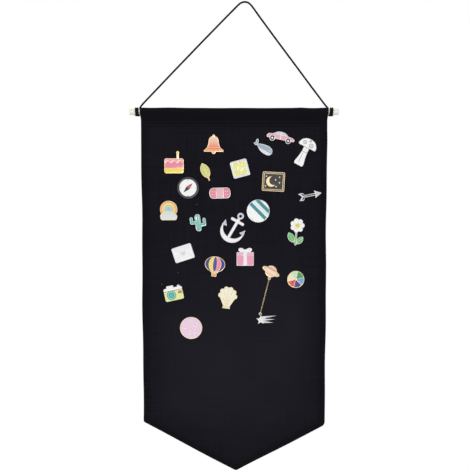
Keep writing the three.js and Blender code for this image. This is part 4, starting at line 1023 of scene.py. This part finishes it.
def fold_hems(points, weave, edge):
    """Adds the hems behind the turned edge to the points and to their places in the flat weave,
    and gives the hems' faces."""
    line = np.array([(points[i][0], points[i][2]) for i in edge])
    run = unit(np.gradient(line, axis=0))
    outward = np.stack([run[:, 1], -run[:, 0]], axis=1)
    inner = mitred_hem(line, outward)
    rings = [edge]
    for bend in map(math.radians, (45, 90, 135, 180)):
        rings.append(list(range(len(points), len(points) + len(edge))))
        for (px, pz), (nx, nz), i in zip(line, outward, edge):
            points.append((px + nx * HEM_FOLD * math.sin(bend),
                           points[i][1] + HEM_FOLD * (1 - math.cos(bend)),
                           pz + nz * HEM_FOLD * math.sin(bend)))
            weave.append((weave[i][0] + nx * HEM_FOLD * bend, weave[i][1] + nz * HEM_FOLD * bend))
    for part in (0.25, 0.5, 0.75, 1.0):
        rings.append(list(range(len(points), len(points) + len(edge))))
        for (px, pz), (qx, qz), i in zip(line, inner, edge):
            hx, hz = px + (qx - px) * part, pz + (qz - pz) * part
            points.append((hx, float(wave(hx, hz)) + 2 * HEM_FOLD - 0.04 * part, hz))
            weave.append((weave[i][0] + hx - px, weave[i][1] + hz - pz))
    return [(near[i], far[i], far[i + 1], near[i + 1])
            for near, far in zip(rings, rings[1:]) for i in range(len(edge) - 1)]


def unevenly_sewn(points):
    """The points with the small waver of sewn edges, less than a millimetre."""
    place = np.array(points, float)
    x, z = place[:, 0] - MIDDLE, place[:, 2]
    outer = smooth_step(SEAM, SEAM - 40, z) * (x / HALF_WIDTH) ** 3
    place[:, 0] += outer * (0.45 * np.sin(z / 41 + 0.8) + 0.25 * np.sin(z / 17 + np.sign(x)))
    place[:, 2] += 0.35 * smooth_step(-590, -670, z) * np.sin(x / 23 + 1.0)
    return place


def cloth_shades(points):
    """Where the cloth is painted darker as shade, at its doubled hems and pocket, and painted
    lighter as a pool of light in the lower middle.
    """
    x, _, z = np.transpose(points)
    slope = 0.882  # from a fall to the foot to the shortest way to it
    from_foot = (z - foot_height(x - MIDDLE)) * slope
    from_edge = np.minimum(HEMMED_HALF - np.abs(x - MIDDLE), from_foot)
    # painted shade on the doubled hems and pocket
    hems = 0.8 * (1 - smooth_step(HEM_WIDTH - 2.0, HEM_WIDTH + 1.5, from_edge))
    pocket = smooth_step(SEAM - FLAP - 5, SEAM - FLAP + 4, z)
    # painted light: lighter in the lower middle, fading out towards the edges
    light_pool = np.exp(-((z + 570.0) / 150.0) ** 2) * smooth_step(0.0, 60.0, from_edge)
    return {"doubled_shade": np.maximum(hems, pocket), "painted_light": 0.1 + 0.9 * light_pool}


def canvas_cloth():
    """The pennant as one cut of canvas: flap and pocket round the dowel, the hanging panel, and
    hems folded to the back along both sides and the foot."""
    x, y, z = cloth_rows(banner_columns())
    tall, wide = x.shape
    steps = np.hypot(np.diff(y, axis=0), np.diff(z, axis=0))
    down = np.vstack([np.zeros(wide), np.cumsum(steps, axis=0)])
    points = np.stack([x + MIDDLE, y, z], axis=2).reshape(-1, 3).tolist()
    weave = np.stack([x, -down], axis=2).reshape(-1, 2).tolist()
    at = np.arange(tall * wide).reshape(tall, wide).tolist()
    faces = [(at[i][j], at[i + 1][j], at[i + 1][j + 1], at[i][j + 1])
             for i in range(tall - 1) for j in range(wide - 1)]
    # the turned edge runs down the left side, along the foot and up the right side
    hemmed = at[tall - FOOT_ROWS - SIDE_ROWS :]
    edge = [row[0] for row in hemmed] + at[-1][1:] + [row[-1] for row in hemmed[-2::-1]]
    faces += fold_hems(points, weave, edge)
    cloth = new_piece("canvas_sewn", unevenly_sewn(points), faces, [CANVAS_FINISH])
    layer = cloth.data.uv_layers.new(name="weave")
    corners = np.zeros(len(cloth.data.loops), int)
    cloth.data.loops.foreach_get("vertex_index", corners)
    layer.data.foreach_set("uv", (np.array(weave)[corners] * MM).ravel())
    for name, values in cloth_shades(points).items():
        layer = cloth.data.attributes.new(name, "FLOAT", "POINT")
        layer.data.foreach_set("value", values)
    wall = cloth.modifiers.new("thickness", "SOLIDIFY")
    wall.thickness = CANVAS * MM
    wall.offset = 0.0
    return cloth


def new_tree(name, **values):
    """Geometry Nodes that take a line and the named values, with a function that adds nodes to
    them and their inputs."""
    tree = bpy.data.node_groups.new(name, "GeometryNodeTree")
    for label, kind in {"line": "Geometry", **values, "finish": "Material"}.items():
        tree.interface.new_socket(label, in_out="INPUT", socket_type="NodeSocket" + kind)
    tree.interface.new_socket("mesh", in_out="OUTPUT", socket_type="NodeSocketGeometry")
    put = partial(add, tree)
    return tree, put, put("NodeGroupInput").outputs


def copied(put, given, points, copy, lie):
    """The end of such nodes: a copy on each point, as one smooth mesh with its finish."""
    mesh = put("GeometryNodeInstanceOnPoints",
               {"Points": points, "Instance": copy, "Rotation": lie})
    for kind in ("GeometryNodeRealizeInstances", "GeometryNodeSetShadeSmooth"):
        mesh = put(kind, {0: mesh})
    mesh = put("GeometryNodeSetMaterial", {0: mesh, "Material": given["finish"]})
    put("NodeGroupOutput", {0: mesh})


def stitch_tree():
    """One short thread on each step of a line, along the line."""
    tree, put, given = new_tree("stitches", pitch="Float", thread="Float", length="Float")
    line = put("GeometryNodeMeshToCurve", {0: given["line"]})
    steps = put("GeometryNodeResampleCurve", {"Curve": line, "Length": given["pitch"]},
                mode="LENGTH")
    tangent = put("GeometryNodeInputTangent")
    lie = put("FunctionNodeAlignRotationToVector", {"Vector": tangent}, axis="Z")
    bead = put("GeometryNodeMeshUVSphere", {"Segments": 8, "Rings": 6, "Radius": 0.5})
    size = put("ShaderNodeCombineXYZ", {0: given["thread"], 1: given["thread"],
                                        2: given["length"]})
    thread = put("GeometryNodeTransform", {"Geometry": bead, "Scale": size})
    copied(put, given, steps, thread, lie)
    return tree


def chain_tree():
    """Wire links along a line, every second one turned edge on."""
    tree, put, given = new_tree("wire_links", links="Int", wire="Float", width="Float",
                                length="Float")
    line = put("GeometryNodeMeshToCurve", {0: given["line"]})
    steps = put("GeometryNodeResampleCurve", {"Curve": line, "Count": given["links"]},
                mode="COUNT")
    tangent = put("GeometryNodeInputTangent")
    lie = put("FunctionNodeAlignRotationToVector", {"Vector": tangent}, axis="Y")
    number = put("GeometryNodeInputIndex")
    quarter = put("ShaderNodeMath", {0: number, 1: math.pi / 2}, operation="MULTIPLY")
    twist = put("FunctionNodeAxisAngleToRotation", {"Axis": (0.0, 1.0, 0.0), "Angle": quarter})
    turned = put("FunctionNodeRotateRotation", {0: lie, 1: twist}, rotation_space="LOCAL")
    square = put("GeometryNodeCurvePrimitiveQuadrilateral",
                 {"Width": given["width"], "Height": given["length"]})
    corner = put("ShaderNodeMath", {0: given["width"], 1: 0.49}, operation="MULTIPLY")
    bent = put("GeometryNodeFilletCurve", {"Curve": square, "Count": 5, "Radius": corner},
               mode="POLY")
    radius = put("ShaderNodeMath", {0: given["wire"], 1: 0.5}, operation="MULTIPLY")
    wire = put("GeometryNodeCurvePrimitiveCircle", {"Resolution": 8, "Radius": radius})
    link = put("GeometryNodeCurveToMesh", {"Curve": bent, "Profile Curve": wire})
    copied(put, given, steps, link, turned)
    return tree


def made_by_nodes(name, tree, points, edges, **inputs):
    """A plain mesh from a tree run on a line, with the tree's inputs by name."""
    mesh = bpy.data.meshes.new(name)
    mesh.from_pydata((np.asarray(points) * MM).tolist(), edges, [])
    guide = linked(name + "_guide", mesh)
    maker = guide.modifiers.new("nodes", "NODES")
    maker.node_group = tree
    for item in tree.interface.items_tree:
        if item.name in inputs:
            maker[item.identifier] = inputs[item.name]
    ready = guide.evaluated_get(bpy.context.evaluated_depsgraph_get())
    plain = bpy.data.meshes.new_from_object(ready)
    plain.name = name
    guide.modifiers.remove(maker)
    bpy.data.objects.remove(guide)
    return linked(name, plain)


def stitching():
    """Two rows along the pocket's seam and one along the hems, seen on both faces."""
    points, edges = [], []

    def sew(line):
        edges.extend((i, i + 1) for i in range(len(points), len(points) + len(line) - 1))
        points.extend(line)

    front = -CANVAS / 2 - 0.06
    across = MIDDLE + np.linspace(-HEMMED_HALF + 1.5, HEMMED_HALF - 1.5, 160)
    for z in (SEAM - drop for drop in SEAM_ROWS):
        sew([(x, float(wave(x, z)) + front, z) for x in across])
        sew([(x, FLAP_DEPTH + CANVAS / 2 + 0.06, z) for x in across])
    left, tip, right = foot_corners(EDGE_INSET + HEM_WIDTH - HEM_ROW)
    path = [(left[0], z) for z in np.linspace(HEM_TOP - 1.5, left[1], 120)]
    for start, end in ((left, tip), (tip, right)):
        path += [tuple(start + (end - start) * t) for t in np.linspace(0, 1, 41)[1:]]
    path += [(right[0], z) for z in np.linspace(right[1], HEM_TOP - 1.5, 120)]
    for depth in (front, 2 * HEM_FOLD + CANVAS / 2 + 0.04):
        sew([(MIDDLE + x, float(wave(MIDDLE + x, z)) + depth, z) for x, z in path])
    return made_by_nodes(
        "canvas_stitching", stitch_tree(), unevenly_sewn(points), edges, pitch=STITCH_PITCH * MM,
        thread=THREAD_WIDTH * MM, length=STITCH_LENGTH * MM, finish=THREAD)


def sewn_banner():
    """The cloth and its stitches."""
    cloth = canvas_cloth()
    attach(cloth, "banner")
    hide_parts("canvas_banner", "rod_pocket")
    seams = stitching()
    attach(seams, "banner")


def pin_chain():
    """Fine wire links from the one pin's eye down to the other's."""
    start, end = (np.array(on_cloth(pin, *LUGS[pin])) for pin in ("planet", "comet"))
    pitch = np.linalg.norm(end - start) / CHAIN_LINKS
    way = (end - start) / (CHAIN_LINKS * pitch)
    ends = (start + way * pitch / 2, end - way * pitch / 2)
    chain = made_by_nodes(
        "pin_chain_linked", chain_tree(), [(x, CHAIN_DEPTH, z) for x, z in ends], [(0, 1)],
        links=CHAIN_LINKS, wire=CHAIN_WIRE * MM, width=LINK_WIDTH * MM,
        length=(pitch + CHAIN_WIRE) * MM, finish=PLATINGS["gold_plate"])
    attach(chain, "banner")
    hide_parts("pin_chain")


def white_room():
    """White all round to the eye and in reflections, and dimmer as a light."""
    world = bpy.data.worlds.new("white_room")
    bpy.context.scene.world = world
    world.use_nodes = True
    world.node_tree.nodes.clear()
    put = partial(add, world.node_tree)
    ray = put("ShaderNodeLightPath").outputs
    seen = ray["Is Camera Ray"]
    for other in ("Is Glossy Ray", "Is Transmission Ray"):
        seen = put("ShaderNodeMath", {0: seen, 1: ray[other]}, operation="MAXIMUM")
    strength = put("ShaderNodeMapRange", {"Value": seen, "To Min": 0.45})
    room = put("ShaderNodeBackground", {"Color": (1.0, 1.0, 1.0, 1.0), "Strength": strength})
    put("ShaderNodeOutputWorld", {"Surface": room})


def pale_floor():
    """A round floor well below the banner, which glows a little to the eye."""
    finish, put, shader = new_finish("pale_floor", Roughness=0.9,
                                     Emission_Color=(1.0, 1.0, 1.0, 1.0))
    place = put("ShaderNodeTexCoord").outputs["Object"]
    speckle = put("ShaderNodeTexNoise", {"Vector": place, "Scale": per_metre(16.7),
                                         "Detail": 2.0})
    tone = put("ShaderNodeMix", {SHARE: speckle, FIRST: linear("#f4f4f4"),
                                 SECOND: linear("#f8f8f8")}, data_type="RGBA")
    seen = put("ShaderNodeLightPath").outputs["Is Camera Ray"]
    glow = put("ShaderNodeMapRange", {"Value": seen, "To Max": 0.34})
    feed(shader, {"Base Color": tone, "Emission Strength": glow})
    sides, radius, height = 64, 680, -1060.0
    ring = [(MIDDLE + radius * math.cos(TURN * i / sides), radius * math.sin(TURN * i / sides),
             height) for i in range(sides)]
    floor = new_piece("floor", ring, [tuple(range(sides))], [finish])


def studio():
    """A white room, soft light from the front, and a pale floor."""
    bpy.context.scene.view_settings.view_transform = "Standard"
    white_room()
    aim = Vector((MIDDLE * MM, 0.0, -0.42))
    # each lamp's place and size in metres, and its power in watts
    for name, place, size, power in (("key_lamp", (-0.8, -1.5, 0.35), 1.1, 13.0),
                                     ("fill_lamp", (0.9, -1.4, -0.1), 1.3, 6.8),
                                     ("back_lamp", (0.5, 1.4, 0.3), 1.2, 6.0)):
        lamp = bpy.data.lights.new(name, "AREA")
        lamp.size = size
        lamp.energy = power
        holder = linked(name, lamp)
        holder.location = place
        holder.rotation_euler = (aim - Vector(place)).to_track_quat("-Z", "Y").to_euler()
    pale_floor()


place_camera()
hanging_cord()
wooden_dowel()
sewn_banner()
enamel_pins()
butterfly_clutches()
pin_chain()
studio()
